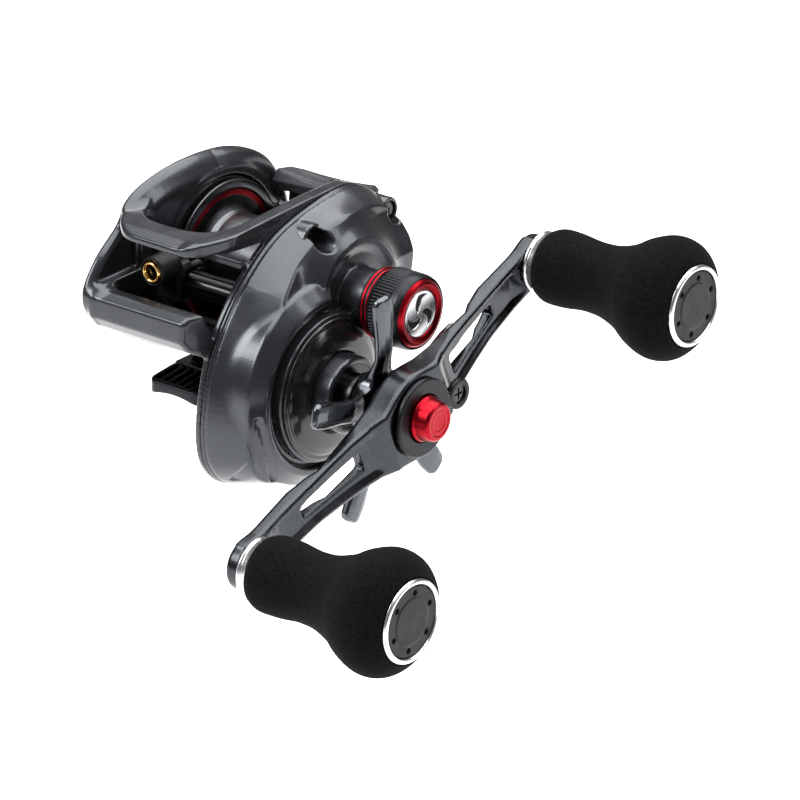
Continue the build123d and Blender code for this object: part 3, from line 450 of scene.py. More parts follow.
GUNMETAL = metallic_paint("gunmetal_paint", (0.036, 0.039, 0.044), 0.27)
GLOSS_BLACK = gloss_lacquer("gloss_black", (0.006, 0.0062, 0.007))
BLACK_METAL = anodised("black_anodised", (0.022, 0.023, 0.025), 0.36)
DARK_METAL = anodised("dark_anodised", (0.042, 0.045, 0.049), 0.24)
STAR_METAL = anodised("star_anodised", (0.085, 0.09, 0.098), 0.22)
BLACK_STEEL = anodised("blackened_steel", (0.045, 0.046, 0.048), 0.2)
SPOOL_METAL = anodised("spool_grey", (0.09, 0.093, 0.1), 0.28)
RED = anodised("red_anodised", (0.3, 0.007, 0.014), 0.32)
STEEL = turned_metal("stainless", (0.5, 0.5, 0.51), 0.26)
SILVER = turned_metal("polished_silver", (0.62, 0.62, 0.63), 0.22)
BRASS = turned_metal("brass", (0.72, 0.5, 0.2), 0.26)
GOLD = turned_metal("gold_ring", (0.9, 0.58, 0.2), 0.14)
FOAM = foam("black_foam")
BLACK_PLASTIC = moulded("black_plastic", (0.005, 0.005, 0.0055), 0.42)
BAR_PLASTIC = moulded("bar_plastic", (0.026, 0.028, 0.031), 0.36)
PALE_PLASTIC = moulded("pale_plastic", (0.62, 0.61, 0.57), 0.45)
CARBON = carbon("carbon_washer")

SLOT_MATERIALS = {
    "gunmetal": GUNMETAL,
    "gloss_black": GLOSS_BLACK,
    "black_metal": BLACK_METAL,
    "dark_steel": DARK_METAL,
    "blackened_steel": BLACK_STEEL,
    "stainless": STEEL,
    "red_anodised": RED,
    "silver": SILVER,
    "brass": BRASS,
    "gold_ring": GOLD,
    "foam": FOAM,
    "black_plastic": BLACK_PLASTIC,
    "carbon": CARBON,
    "white_plastic": PALE_PLASTIC,
}
TURNED_EDGE = radians(35)    # corners sharper than this stay crisp
CAD_EDGE = radians(30)
SLOT_OF = {row["node"]: row["material_slot"] for row in frame["record"]["subparts"]}


def body_for(node):
    """Name of the body that a CAD node belongs to."""
    for body, nodes in frame["record"]["behaviour"]["bodies"].items():
        if node in nodes:
            return body
    raise KeyError(node)


def piece(name, mesh, material, nodes, smooth=True):
    """A finished piece that stands for CAD nodes and moves with their body."""
    obj = bpy.data.objects.new(name, mesh)
    bpy.context.collection.objects.link(obj)
    mesh.materials.append(material)
    mesh.shade_smooth()
    if not smooth:
        mesh.set_sharp_from_angle(angle=TURNED_EDGE)
    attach(obj, body_for(nodes[0]))
    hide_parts(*nodes)
    return obj


# ---------------------------------------------------------------------------
# Frame
# ---------------------------------------------------------------------------
def frame_body():
    space = Space((-17.6, -42.2, -19.8), (14.2, 25.2, 44.4))
    x, y, z = space.x, space.y, space.z
    palm = space.side(curved(PALM_OUTLINE))
    seam = space.side(curved(SEAM_OUTLINE))
    # Palm-side wall, its rim sloping down to the spool, less so at the rear
    wall = space.slab(palm, PALM_OUT, PALM_IN, 1.3)
    slope_width = np.interp(y, [0.0, 12.0], [3.4, 0.6])
    slope = (x - PALM_IN) * 0.77 + (palm + slope_width) * 0.64
    shape = keep(wall, slope, 1.4)
    # Nose with its corner drawn back on the gear side
    nose = space.slab(space.side(NOSE) - 1.0, -14.0, SEAM, 0.6)
    corner = (x - 11.2) * 0.923 - (y + 41.0) * 0.385
    nose = keep(nose, corner, 1.0)
    shape = join(shape, nose, 3.0)
    # Cowl: a curved sheet around the front of the top opening, with a rail along the gear side
    stations = [-36.5, -33.0, -26.0, -14.0, 0.0, 10.7, 14.8]
    top = np.interp(y, stations, [36.1, 37.1, 37.6, 38.1, 38.6, 38.5, 36.8])
    under = np.interp(y, stations, [34.5, 34.8, 35.6, 36.0, 36.2, 36.0, 34.6])
    sheet = keep(z - top, under - z, 0.5)
    sheet = keep(sheet, space.plan(softened(COWL_PLAN, 2.5)), 0.7)
    # Towards the gear side its outer edge hangs down as a skirt, as far as the hem
    outside = space.plan(softened(COWL_OUTSIDE, 3.0))
    hem = np.interp(y, [-36.0, -23.5, -13.5, 0.0, 15.0], [34.8, 34.2, 33.4, 36.0, 35.0])
    skirt = keep(keep(outside, -outside - 2.6, 0.5), keep(z - top, hem - z, 0.5), 0.5)
    skirt = keep(skirt, 6.5 - x, 2.0)
    sheet = join(sheet, skirt, 1.0)
    shape = join(shape, sheet, 1.6)
    # The palm-side wall is thinner beside the window that the line leaves through
    shape = cut(shape, space.block((-14.3, -8.0), (-45.0, -25.8), (24.4, 34.4), 1.0), 0.6)
    # Gear-side wall, belly and rear wall
    shape = join(shape, space.slab(seam, WALL_IN, SEAM, 0.15), 0.8)
    belly_half = 1.1
    ring = np.abs(space.away(SPOOL) - WELL_RADIUS - belly_half) - belly_half
    belly = space.slab(ring, PALM_IN - 1, WALL_IN + 0.6)
    belly = cut(belly, space.block((-12.3, 14.2), (-20.0, 30.0), (25.5, 45.0)), 0.6)
    belly = cut(belly, space.block((-12.3, 14.2), (-20.0, -8.0), (12.5, 26.0)), 0.6)
    shape = join(shape, belly, 0.8)
    shape = join(shape, space.slab(space.side(CROSS_BAR), PALM_IN - 1, WALL_IN + 0.5), 0.8)
    shape = join(shape, space.block((-7.3, 7.3), (-22.0, 19.6), (1.3, 3.2)), 0.4)
    # Spool's well, bearing seats, the thumb bar's slots and the foot's seat
    shape = cut(shape, space.disc(-20.0, WALL_IN, WELL_RADIUS), 0.5)
    shape = cut(shape, space.disc(WALL_IN - 1, 20.0, 3.4), 0.2)
    shape = cut(shape, space.disc(12.5, 20.0, 5.0), 0.1)
    shape = cut(shape, space.disc(-15.6, 20.0, 3.2, WORM), 0.2)
    shape = cut(shape, space.block((11.0, 14.5), (18.0, 21.4), (18.6, 26.2)), 0.2)
    shape = cut(shape, space.block((9.4, 12.2), (16.0, 22.0), (17.6, 32.0)), 0.2)
    shape = cut(shape, space.block((-7.4, 7.4), (-31.0, 31.0), (-6.0, 1.3)), 0.2)
    shape = keep(shape, x - SEAM, 0.1)
    return piece("frame_casting", space.mesh("frame_casting", shape), GUNMETAL, ["frame_body"])


def groove(away, depth, width):
    """How far a crease sinks the surface at a distance from its middle."""
    return depth * np.exp(-(away / width) ** 2)


def side_line(space, points):
    """Distance from a curved open line given as (y, z)."""
    return path_distance(curved(points, closed=False), space.y, space.z)


def side_plate():
    space = Space((13.0, -39.4, -20.2), (36.0, 24.8, 39.6))
    x, z = space.x, space.z
    seam = space.side(curved(SEAM_OUTLINE))
    # Flank that leans in from the seam up to a sloping facet
    lean = np.interp(z, [5.0, 26.0, 33.0], [0.30, 0.34, 0.44])
    flank = (seam + lean * (x - SEAM - 0.8)) / np.sqrt(1 + lean * lean)
    facet = np.interp(z, [23.0, 33.0], [24.3, 20.8])
    flank = keep(flank, (x - facet) * 0.93, 0.6)
    # Cone of the gear housing, bulge over the spool
    cone = [(8.0, -1.0), (8.0, 22.3), (24.3, 22.3), (27.2, 19.2), (27.2, -1.0)]
    housing = space.turned(softened(cone, 0.5), DRIVE)
    bulge = space.turned([(8.0, -1.0), (8.0, 17.6), (21.0, 16.4), (25.3, 12.4), (25.3, -1.0)])
    shape = join(flank, bulge, 3.0)
    shape = join(shape, housing, 0.5)
    shape = keep(shape, seam, 0.5)
    # Seats of the cast-control knob and of the round cover, stepped like the real housing
    dish = space.turned([(40.0, 11.4), (26.4, 10.8), (24.6, 9.4), (24.6, 0.0), (40.0, 0.0)])
    shape = cut(shape, dish, 1.2)
    pocket = space.turned([(40.0, 18.2), (26.9, 17.9), (25.6, 17.2), (25.6, 0.0), (40.0, 0.0)], DRIVE)
    shape = cut(shape, pocket, 0.25)
    shape = join(shape, space.disc(24.0, 28.4, 16.2, DRIVE, 0.3), 0.2)
    shape = join(shape, space.disc(24.0, 34.6, 8.4, DRIVE, 0.5), 0.3)
    shape = join(shape, space.disc(22.0, 35.4, 6.3, SPOOL, 0.3), 0.4)
    # Screw recesses
    for number, post in enumerate(PLATE_SCREWS):
        if number != HIDDEN_SCREW:
            shape = join(shape, space.disc(15.0, 19.5, 3.1, post, 0.4), 0.3)
            shape = cut(shape, space.disc(18.4, 44.0, 2.3, post, 0.2), 0.2)
    # Creases of the styling and a fine groove along the seam
    vee = (
        groove(side_line(space, [(-32.8, -13.5), (-34.4, -8.0), (-33.9, 2.3)]), 0.5, 0.4)
        + groove(side_line(space, [(-33.9, 2.3), (-31.4, -6.0), (-27.6, -13.8)]), 0.5, 0.4)
    )
    creases = vee * np.clip(x - 16.5, 0, 1)
    shape = shape + creases + groove(x - 14.6, 0.3, 0.22)
    # Hollow inside, with room for the gears and for the yoke on its posts
    hollow = keep(flank + 1.5, x - 18.4)
    hollow = join(hollow, space.disc(12.0, 24.3, 18.9, DRIVE))
    hollow = join(hollow, space.disc(12.0, 22.8, 6.2))
    hollow = join(hollow, keep(space.disc(12.0, 18.6, 3.75, WORM), flank + 0.8))
    hollow = join(hollow, space.disc(24.0, 26.0, 6.2, DRIVE))
    hollow = join(hollow, space.disc(25.5, 40.0, 7.0, DRIVE))
    hollow = join(hollow, space.disc(22.0, 27.9, 5.0))
    hollow = join(hollow, space.disc(22.0, 40.0, 3.9))
    hollow = join(hollow, space.disc(29.0, 40.0, 5.0))
    for post in YOKE_POSTS:
        hollow = join(hollow, space.disc(12.0, 22.0, 2.8, post))
    shape = cut(shape, hollow)
    # Bosses that the screws pull on
    for post in PLATE_SCREWS:
        shape = join(shape, keep(space.disc(15.7, 18.4, 3.0, post), seam + 0.6))
    shape = keep(shape, SEAM + 0.02 - x)
    mesh = space.mesh("gear_side_shell", shape)
    return piece("gear_side_shell", mesh, GUNMETAL, ["handle_side_plate"])


def cover_disc():
    space = Space((27.8, -30.0, -13.0), (31.4, 3.0, 20.2), 0.16)
    section = [
        (28.4, 8.6), (28.4, 15.5), (28.9, 15.6), (29.2, 15.2), (29.15, 14.5), (29.5, 14.1),
        (30.1, 12.6), (30.5, 10.6), (30.7, 9.4), (30.7, 8.6),
    ]
    shape = space.turned(softened(section, 0.25), DRIVE)
    shape = cut(shape, space.disc(26.0, 40.0, 6.6), 0.15)
    mesh = space.mesh("gear_cover", shape)
    return piece("gear_cover", mesh, GLOSS_BLACK, ["gear_cover_disc"])


# ---------------------------------------------------------------------------
# Palm side
# ---------------------------------------------------------------------------
def palm_cover():
    space = Space((-21.4, -23.2, -3.6), (-11.8, 23.2, 42.6), 0.22)
    around = space.away(SPOOL)
    section = [
        (PALM_OUT, -1.0), (PALM_OUT, 22.3), (-17.6, 22.2), (-19.3, 20.9), (-20.3, 17.8), (-20.6, -1.0),
    ]
    shape = space.turned(softened(section, 0.8))
    spigot = space.slab(np.abs(around - 16.3) - 0.9, PALM_OUT - 0.4, PALM_IN - 0.4, 0.2)
    shape = join(shape, spigot, 0.2)
    # Hollow with the hub of the spool's bearing and the brake race's seat, and the dial's recess
    shape = cut(shape, space.disc(-19.3, PALM_OUT + 0.1, 15.4))
    shape = join(shape, space.disc(-19.5, -16.0, 6.4))
    shape = cut(shape, space.disc(-18.8, -15.0, 5.0))
    shape = cut(shape, space.disc(-21.5, -18.0, 3.2))
    shape = join(shape, space.slab(np.abs(around - 11.4) - 1.2, -19.4, -17.4))
    shape = cut(shape, space.disc(-22.0, -19.9, 8.6), 0.25)
    shape = cut(shape, space.disc(-17.0, -10.0, 3.3, WORM))
    shape = cut(shape, space.block((-22.0, -19.0), (-2.2, 2.2), (LOCK_Z - 0.6, LOCK_Z + 0.6)), 0.1)
    # Two fine grooves turned into the outside
    for radius in (10.2, 19.2):
        shape = shape + groove(around - radius, 0.22, 0.3) * (space.x < -19.0)
    mesh = space.mesh("palm_cover", shape)
    return piece("palm_cover_shell", mesh, GUNMETAL, ["palm_side_cover"])


# ---------------------------------------------------------------------------
# Star wheel and handle
# ---------------------------------------------------------------------------
STAR_ARMS = 5
STAR_TURN = radians(94.5)    # one arm's angle from +Y
STAR_REACH = 25.5
ARM_PROFILE = (              # along the crank arm: reach and the height of its face
    [0, 9.5, 13, 18, 24, 32, 40, 58],
    [52.4, 52.4, 50.8, 49.6, 48.7, 47.8, 47.35, 47.35],
)


def star_wheel():
    space = Space((37.4, -39.6, -23.0), (46.0, 12.6, 29.6), 0.2)
    x, y, z = space.x, space.y, space.z
    hub = [
        (37.9, 4.6), (37.9, 6.0), (39.4, 7.2), (42.6, 7.2), (43.4, 6.4), (43.4, 2.8), (41.3, 2.8),
        (41.3, 4.6),
    ]
    shape = space.turned(softened(hub, 0.4), DRIVE)
    arms = FAR
    for number in range(STAR_ARMS):
        angle = STAR_TURN + number * tau / STAR_ARMS
        out = (y - DRIVE[0]) * cos(angle) + (z - DRIVE[1]) * sin(angle)
        side = -(y - DRIVE[0]) * sin(angle) + (z - DRIVE[1]) * cos(angle)
        half = np.interp(
            out, [4.0, 7.5, 11.0, 16.0, 21.0, 24.0, 25.6], [3.8, 3.3, 2.6, 2.45, 2.9, 2.7, 1.8]
        )
        width = np.abs(side) - half
        low = np.interp(out, [5.0, 11.5, 24.9, 25.5], [39.8, 42.9, 43.0, 43.6])
        high = np.interp(out, [5.0, 8.0, 12.5, 22.0, 24.9, 25.6], [43.3, 43.6, 44.7, 45.2, 45.1, 44.6])
        # The face falls away to both edges
        high = high - 0.256 * np.maximum(np.abs(side) - 0.9, 0)
        reach = keep(out - STAR_REACH, 5.0 - out)
        arm = keep(keep(width, keep(x - high, low - x, 0.3), 0.7), reach, 0.9)
        arms = np.minimum(arms, arm)
    shape = join(shape, arms, 1.2)
    shape = cut(shape, space.disc(41.3, 50.0, 2.7, DRIVE))
    shape = cut(shape, space.disc(30.0, 41.3, 4.5, DRIVE))
    return piece("star_wheel", space.mesh("star_wheel", shape), STAR_METAL, ["star_drag"])


def crank_arm():
    space = Space((43.2, -67.4, -21.2), (53.0, 40.6, 28.2), 0.25)
    x, y, z = space.x, space.y, space.z
    along = (y - DRIVE[0]) * ARM_Y + (z - DRIVE[1]) * ARM_Z
    across = -(y - DRIVE[0]) * ARM_Z + (z - DRIVE[1]) * ARM_Y
    reach = np.abs(along)
    half = np.interp(reach, [0, 13, 30, 45, 51], [9.0, 6.8, 5.3, 5.0, 5.4])
    flat = keep(np.abs(across) - half, reach - CRANK)
    flat = join(flat, space.away(DRIVE) - 9.4, 2.5)
    for knob in (KNOB_REAR, KNOB_FRONT):
        flat = join(flat, space.away(knob) - 5.4, 1.5)
    flat = join(flat, space.away(LOBE) - 3.8, 1.0)
    outer = np.interp(reach, *ARM_PROFILE)
    inner = np.interp(reach, [0, 26.4, 29, 34, 58], [46.3, 46.2, 44.9, 43.75, 43.75])
    # The face of each half is dished, so its edges stand up as fine ribs
    middle = np.clip(1 - (np.abs(across) / (half - 1.2)) ** 2, 0, 1)
    span = np.clip((reach - 11) / 3, 0, 1) * np.clip((45 - reach) / 4, 0, 1)
    outer = outer - 0.9 * np.clip(middle * 2.2, 0, 1) * span
    shape = keep(keep(x - outer, inner - x, 0.5), flat, 1.1)
    window_half = np.interp(reach, [15, 18, 31, 35], [2.3, 2.3, 1.7, 1.2])
    window = keep(np.abs(across) - window_half, keep(reach - 34.0, 16.0 - reach, 0.6), 1.0)
    shape = cut(shape, window, 0.5)
    shape = cut(shape, space.disc(40.0, 60.0, 2.0, DRIVE), 0.1)
    shape = cut(shape, space.disc(50.0, 60.0, 1.0, LOBE), 0.1)
    for knob in (KNOB_REAR, KNOB_FRONT):
        shape = cut(shape, space.disc(40.0, 60.0, 2.0, knob), 0.1)
        shape = cut(shape, space.disc(40.0, 44.5, 3.2, knob), 0.1)
    return piece("crank_arm", space.mesh("crank_arm", shape), DARK_METAL, ["handle_arm"])


def retainer():
    space = Space((52.0, -23.0, -6.0), (54.2, 2.6, 13.0), 0.14)
    flat = join(space.away(DRIVE) - 8.6, space.away(LOBE) - 3.4, 1.2)
    shape = space.slab(flat, 52.42, 53.8, 0.45)
    shape = cut(shape, space.disc(50.0, 60.0, 5.2, DRIVE), 0.3)
    shape = cut(shape, space.disc(50.0, 60.0, 1.95, LOBE), 0.3)
    return piece("nut_cover", space.mesh("nut_cover", shape), BLACK_METAL, ["nut_retainer"])


def crank_nut():
    section = [
        (52.45, 2.05), (52.45, 5.0), (54.3, 5.0), (54.7, 4.6), (57.1, 4.25), (57.6, 3.8), (57.62, 3.1),
        (57.5, 2.95), (57.55, 2.0), (57.45, 1.85), (57.5, 0.02), (56.45, 0.02), (56.45, 2.05),
    ]
    mesh = lathe("crank_nut", softened(section, 0.18), DRIVE, 128)
    return piece("crank_nut", mesh, RED, ["handle_nut"], smooth=False)


# ---------------------------------------------------------------------------
# Knobs
# ---------------------------------------------------------------------------
GRIP = [
    (50.4, 7.4), (52.6, 8.2), (57.0, 8.1), (62.0, 7.6), (67.0, 8.0), (72.0, 9.7), (76.0, 12.0),
    (80.0, 13.35), (83.5, 13.0), (86.0, 11.3), (87.6, 9.2),
]
GRIP_SEEDS = {"rear": 7, "front": 11}
CAP_HOLES = 6


def pierced_cap(at):
    """Distance from a knob's end cap, with a ring of small blind holes."""
    space = Space((86.6, at[0] - 8.2, at[1] - 8.2), (88.4, at[0] + 8.2, at[1] + 8.2), 0.12)
    shape = space.disc(87.02, 87.9, 7.6, at, 0.2)
    shape = join(shape, space.disc(87.02, 88.0, 5.0, at, 0.3), 0.4)
    for number in range(CAP_HOLES):
        angle = radians(20) + number * tau / CAP_HOLES
        hole = (at[0] + 6.1 * cos(angle), at[1] + 6.1 * sin(angle))
        shape = cut(shape, space.disc(87.35, 90.0, 0.62, hole, 0.1), 0.12)
    return space, shape


def knob(side, at):
    """Collar, foam grip, end ring and end cap of one knob."""
    collar = [
        (KNOB_BASE, 4.25), (KNOB_BASE, 6.2), (47.9, 6.75), (48.3, 6.75), (48.5, 6.5), (48.8, 6.5),
        (49.0, 6.8), (49.9, 6.9), (50.35, 7.1), (50.4, 6.1), (86.0, 6.1), (86.0, 4.25),
    ]
    mesh = lathe(f"{side}_collar", softened(collar, 0.2), at, 128)
    piece(f"{side}_knob_collar", mesh, SILVER, [f"{side}_knob_sleeve"], smooth=False)

    # Foam skin with the slight unevenness of sanding
    inside = [(86.7, 8.2), (86.1, 6.1), (50.5, 6.1)]
    waves = np.random.default_rng(GRIP_SEEDS[side]).uniform(0, tau, 6)

    def uneven(x, radius, angle):
        if radius < 7.0:
            return radius
        wave = sum(
            sin(x * (0.35 + 0.23 * k) + angle * (k + 1) + start) / (k + 2) for k, start in enumerate(waves)
        )
        return radius + 0.035 * wave

    grip = softened(curved(GRIP, closed=False, pieces=7) + inside, 0.3, 2)
    mesh = lathe(f"{side}_grip", grip, at, 160, uneven)
    skin = piece(f"{side}_foam_grip", mesh, FOAM, [f"{side}_knob_grip"])

    ring = [
        (86.0, 5.25), (86.0, 6.0), (86.8, 8.05), (87.62, 8.95), (88.15, 8.75), (88.3, 8.35),
        (88.25, 7.9), (87.9, 7.72), (87.0, 7.72), (87.0, 5.25),
    ]
    mesh = lathe(f"{side}_ring", softened(ring, 0.16), at, 160)
    piece(f"{side}_end_ring", mesh, SILVER, [f"{side}_knob_end_ring"], smooth=False)

    space, shape = pierced_cap(at)
    mesh = space.mesh(f"{side}_cap", shape)
    piece(f"{side}_end_cap", mesh, BLACK_PLASTIC, [f"{side}_knob_cap"])


# ---------------------------------------------------------------------------
# Spool and cast-control knob
# ---------------------------------------------------------------------------
def spool():
    right = [
        (11.4, 9.1), (11.2, 12.0), (11.8, 15.2), (11.8, 16.5), (11.4, 16.88), (10.8, 16.85),
        (10.72, 16.0), (10.72, 14.9), (10.9, 14.8), (11.0, 13.4), (10.85, 12.6), (10.6, 11.6),
        (10.2, 11.0), (9.4, 10.35), (8.4, 10.02),
    ]
    left = [(-x, radius) for x, radius in reversed(right)]
    core = [
        (-1.0, 9.1), (-1.0, 3.4), (-9.0, 3.4), (-9.0, 1.62), (9.0, 1.62), (9.0, 3.4), (1.0, 3.4),
        (1.0, 9.1),
    ]
    section = softened(right + left + core, 0.22, 2)
    mesh = lathe("spool", section, SPOOL, 224)
    obj = piece("spool_bobbin", mesh, SPOOL_METAL, ["spool_body"], smooth=False)
    # The cheeks' inner faces are black and the step under each rim is red
    mesh.materials.append(RED)
    mesh.materials.append(BLACK_METAL)
    for face in mesh.polygons:
        centre = face.center / MM
        radius = hypot(centre.y - SPOOL[0], centre.z - SPOOL[1])
        if 13.4 < radius < 14.85 and abs(centre.x) < 11.06:
            face.material_index = 1
        elif 10.5 < radius < 13.5:
            face.material_index = 2
    return obj


def cast_knob():
    body = [
        (31.0, 6.4), (31.0, 7.3), (31.2, 7.5), (33.5, 7.5), (33.6, 7.3), (33.8, 7.3), (34.0, 8.1),
        (34.2, 8.3), (38.6, 8.3), (38.8, 8.1), (38.9, 8.1), (39.1, 8.3), (40.6, 8.25), (41.5, 8.0),
        (41.9, 7.75), (41.85, 7.6), (41.2, 7.55), (41.2, 0.02), (33.0, 0.02), (33.0, 1.3), (35.9, 1.3),
        (35.9, 6.4),
    ]
    ridges = 72

    def knurl(x, radius, angle):
        if radius < 8.15 or not 34.1 < x < 38.7:
            return radius
        return radius - 0.26 * abs(sin(angle * ridges / 2)) ** 0.6

    mesh = lathe("cast_knob", softened(body, 0.14, 3), SPOOL, ridges * 8, knurl)
    piece("cast_knob_shell", mesh, BLACK_METAL, ["cast_knob"], smooth=False)

    # Ring around the badge and two fine rings on the neck
    trims = [
        [(41.22, 5.2), (41.22, 7.5), (41.75, 7.5), (42.3, 6.9), (42.45, 6.4), (42.1, 5.3), (42.0, 5.2)],
        [(31.7, 7.5), (31.7, 7.68), (31.85, 7.75), (32.2, 7.75), (32.3, 7.68), (32.3, 7.5)],
        [(32.9, 7.5), (32.9, 7.68), (33.0, 7.75), (33.2, 7.75), (33.3, 7.68), (33.3, 7.5)],
    ]
    for number, trim in enumerate(trims):
        mesh = lathe("trim", softened(trim, 0.1, 3), SPOOL, 160)
        piece(f"cast_knob_ring_{number}", mesh, RED, ["cast_knob_trim_rings"], smooth=False)

    # Badge: a silver disc with a sunk pinwheel
    space = Space((40.9, -5.6, 13.9), (42.4, 5.6, 25.1), 0.09)
    away = space.away(SPOOL)
    angle = np.arctan2(space.z - SPOOL[1], space.y - SPOOL[0])
    shape = space.slab(away - 5.12, 41.21, 42.0, 0.2)
    swirl = np.sin(3 * angle + away * 0.85)
    vane = (0.45 - swirl) * (away / 3.2)
    vane = keep(vane, keep(away - 4.3, 0.9 - away, 0.2), 0.2)
    shape = cut(shape, keep(vane, 41.72 - space.x, 0.1), 0.1)
    mesh = space.mesh("badge", shape)
    obj = piece("cast_knob_emblem", mesh, SILVER, ["cast_knob_badge"])
    mesh.materials.append(BLACK_METAL)
    for face in mesh.polygons:
        if face.center.x < 41.8 * MM and face.normal.x > 0.7:
            face.material_index = 1
    return obj


# ---------------------------------------------------------------------------
# Level wind, clutch bar, foot
# ---------------------------------------------------------------------------
def line_guide():
    space = Space((-9.4, -32.2, 17.8), (-1.4, -16.8, 31.0), 0.14)
    x, y, z = space.x, space.y, space.z
    half = 3.4
    shape = space.block(
        (EYE[0] - half, EYE[0] + half), (WORM[0] - 4.4, WORM[0] + 4.3), (WORM[1] - 4.0, WORM[1] + 4.0), 1.2
    )
    eye = np.hypot(x - EYE[0], z - EYE[2])
    tube = keep(eye - 3.3, keep(EYE[1] - y, y - (EYE[1] + 6.4)), 0.5)
    shape = join(shape, tube, 1.0)
    # Seat of the hard ring, the line's way, the worm, the pawl and a notch in each side
    funnel = 2.5 + np.maximum(EYE[1] + 0.5 - y, 0) * 0.5
    shape = cut(shape, keep(eye - funnel, y - (EYE[1] + 2.05)), 0.2)
    shape = cut(shape, eye - 1.9, 0.2)
    shape = cut(shape, space.away(WORM) - 2.87, 0.2)
    pawl = space.block(
        (EYE[0] - 0.95, EYE[0] + 0.95), (-20.3, -17.6), (WORM[1] - 0.95, WORM[1] + 0.95)
    )
    shape = cut(shape, pawl, 0.1)
    for side in (EYE[0] - half, EYE[0] + half):
        shape = cut(shape, space.block((side - 0.3, side + 0.3), (-25.0, -19.0), (24.9, 25.6)), 0.2)
    return piece("line_carriage", space.mesh("line_carriage", shape), BLACK_PLASTIC, ["line_guide"])


def eye_ring():
    """Hard ring with a rounded mouth."""
    rows = 20
    segments = 96
    verts = []
    for row in range(rows):
        around = tau * row / rows
        radius = 2.0 + 0.5 * cos(around)
        y = EYE[1] + 0.8 + 1.2 * sin(around)
        for number in range(segments):
            turn = tau * number / segments
            verts.append(((EYE[0] + radius * cos(turn)) * MM, y * MM, (EYE[2] + radius * sin(turn)) * MM))
    return piece("line_eye", wrapped_mesh("eye", verts, rows, segments), GOLD, ["guide_eye"])


def thumb_bar():
    space = Space((-12.4, 15.6, 22.6), (14.4, 24.8, 36.6), 0.2)
    x, y, z = space.x, space.y, space.z
    level = z - BAR_RISE * (x - PALM_IN - 0.4)
    bar = space.slab(outline_distance(BAR, y, level) + 0.4, PALM_IN + 0.8, WALL_IN - 0.8) - 0.4
    # Its top dips along an arc and has two fine grooves along its length
    dip_radius = 60.6
    bar = keep(bar, z - (33.1 + dip_radius - np.sqrt(dip_radius ** 2 - x ** 2)), 0.4)
    grooves = groove(y - 17.9, 0.2, 0.25) + groove(y - 20.6, 0.2, 0.2)
    bar = bar + grooves * (level > 31.0) * (np.abs(x) < 10.5)
    apron = space.slab(outline_distance(APRON, y, level) + 0.2, PALM_IN + 0.5, WALL_IN - 0.6) - 0.2
    bar = join(bar, apron, 0.6)
    # Leg on the gear side, which slides in the frame
    shape = join(bar, space.block((9.8, WALL_IN - 0.4), (18.4, 21.0), (23.0, 33.0), 0.2), 0.5)
    shape = join(shape, space.block((11.0, 14.1), (18.4, 21.0), (23.0, 25.6), 0.2), 0.2)
    return piece("thumb_bar", space.mesh("thumb_bar", shape), BAR_PLASTIC, ["clutch_bar"])


def foot():
    space = Space((-8.0, -32.0, -2.2), (8.0, 32.0, 3.6), 0.2)
    x, y, z = space.x, space.y, space.z
    reach = np.abs(y)
    corner = 2.6
    plan = np.hypot(
        np.maximum(np.abs(x) - FOOT_HALF_WIDTH + corner, 0), np.maximum(reach - FOOT_HALF_LENGTH + corner, 0)
    ) - corner
    top = np.interp(
        y, [-FOOT_HALF_LENGTH, -22.4, -22.2, 19.8, 20.0, 22.2, FOOT_HALF_LENGTH],
        [2.15, 2.9, 1.3, 1.3, 2.9, 2.9, 2.15],
    )
    under = ROD_RADIUS - np.sqrt(ROD_RADIUS ** 2 - np.minimum(np.abs(x), 9.0) ** 2)
    shape = keep(keep(z - top, -under - z, 0.35), plan, 0.5)
    # Grooves on both ends, and the screws' holes with their countersinks underneath
    for number in range(6):
        at = -5.4 + 2.16 * number
        for end in ((-29.8, -22.6), (22.6, 29.8)):
            shape = cut(shape, space.block((at - 0.5, at + 0.5), end, (1.75, 6.0), 0.1), 0.25)
    for screw_x in (-3.8, 3.8):
        for screw_y in (-18.5, 16.0):
            hole = np.hypot(x - screw_x, y - screw_y)
            shape = cut(shape, hole - 0.85, 0.05)
            shape = cut(shape, keep(hole - 1.55, z - 0.5), 0.1)
    return piece("reel_foot_plate", space.mesh("reel_foot_plate", shape), BLACK_METAL, ["reel_foot"])


frame_body()
side_plate()
cover_disc()
palm_cover()
star_wheel()
crank_arm()
retainer()
crank_nut()
knob("rear", KNOB_REAR)
knob("front", KNOB_FRONT)
spool()
cast_knob()
line_guide()
eye_ring()
thumb_bar()
foot()

# CAD pieces that keep their own solids get their materials
for name, node in frame["nodes"].items():
    if node.hide_render:
        continue
    node.data.materials.clear()
    node.data.materials.append(SLOT_MATERIALS[SLOT_OF[name]])
    node.data.shade_smooth()
    node.data.set_sharp_from_angle(angle=CAD_EDGE)

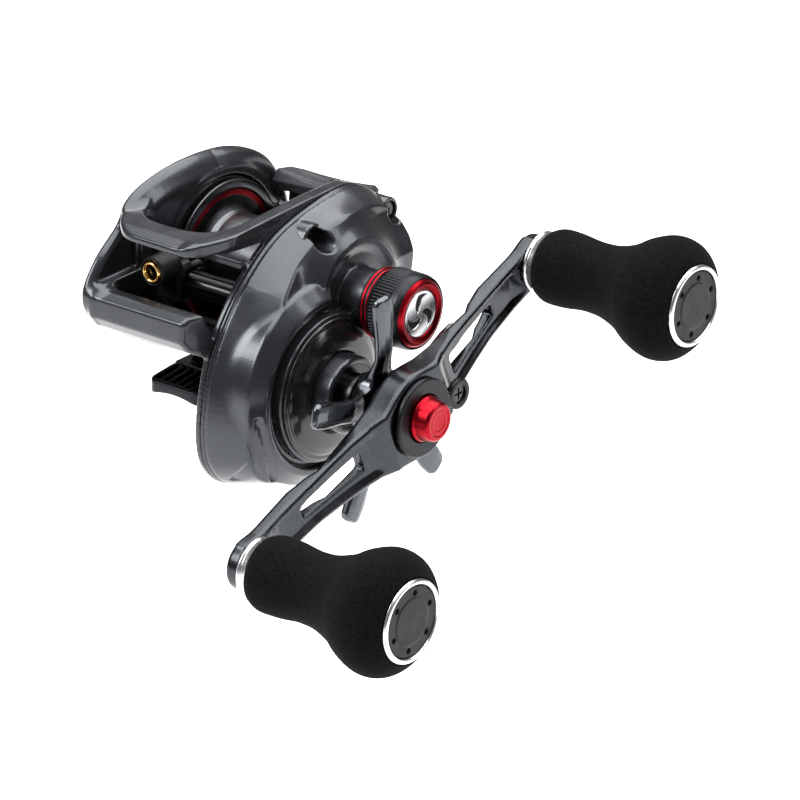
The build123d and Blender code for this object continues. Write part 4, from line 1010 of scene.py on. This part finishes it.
# ---------------------------------------------------------------------------
# Floor, light and camera
# ---------------------------------------------------------------------------
WIDE = 6.0                   # metres, as is everything below
FLOOR_Z = -0.17
corners = [(-WIDE, -WIDE, FLOOR_Z), (WIDE, -WIDE, FLOOR_Z), (WIDE, WIDE, FLOOR_Z), (-WIDE, WIDE, FLOOR_Z)]
floor_mesh = bpy.data.meshes.new("floor")
floor_mesh.from_pydata(corners, [], [(0, 1, 2, 3)])
floor = bpy.data.objects.new("floor", floor_mesh)
bpy.context.collection.objects.link(floor)
pale = Paint("floor_white", (0.96, 0.96, 0.96), roughness=0.9)
floor_mesh.materials.append(pale.material)

world = bpy.data.worlds.new("studio")
bpy.context.scene.world = world
world.use_nodes = True
background = world.node_tree.nodes["Background"]
background.inputs["Color"].default_value = (1, 1, 1, 1)
background.inputs["Strength"].default_value = 0.22
bpy.context.scene.view_settings.view_transform = "Standard"
bpy.context.scene.view_settings.look = "None"

REEL_CENTRE = Vector((0.025, -0.012, 0.01))
SOFTBOXES = [                # name, place, size, watts
    ("key", (-0.45, -0.75, 0.7), (0.5, 0.5), 10.0),
    ("top", (0.0, 0.3, 1.6), (2.4, 2.4), 98.0),
    ("side", (0.8, 0.5, 0.5), (0.15, 0.7), 2.0),
]
for name, place, size, power in SOFTBOXES:
    light = bpy.data.lights.new(name, "AREA")
    light.shape = "RECTANGLE"
    light.size, light.size_y = size
    light.energy = power
    lamp = bpy.data.objects.new(name, light)
    bpy.context.collection.objects.link(lamp)
    lamp.location = place
    lamp.rotation_euler = (REEL_CENTRE - Vector(place)).to_track_quat("-Z", "Y").to_euler()

AZIMUTH = radians(38.483)
ELEVATION = radians(23.427)
camera_data = bpy.data.cameras.new("camera")
camera_data.lens = 240.5
camera_data.sensor_width = 36.0
camera = bpy.data.objects.new("camera", camera_data)
bpy.context.collection.objects.link(camera)
camera.location = (0.6809, -0.8107, 0.4471)
camera.rotation_euler = (pi / 2 - ELEVATION, 0.0, AZIMUTH)
bpy.context.scene.camera = camera
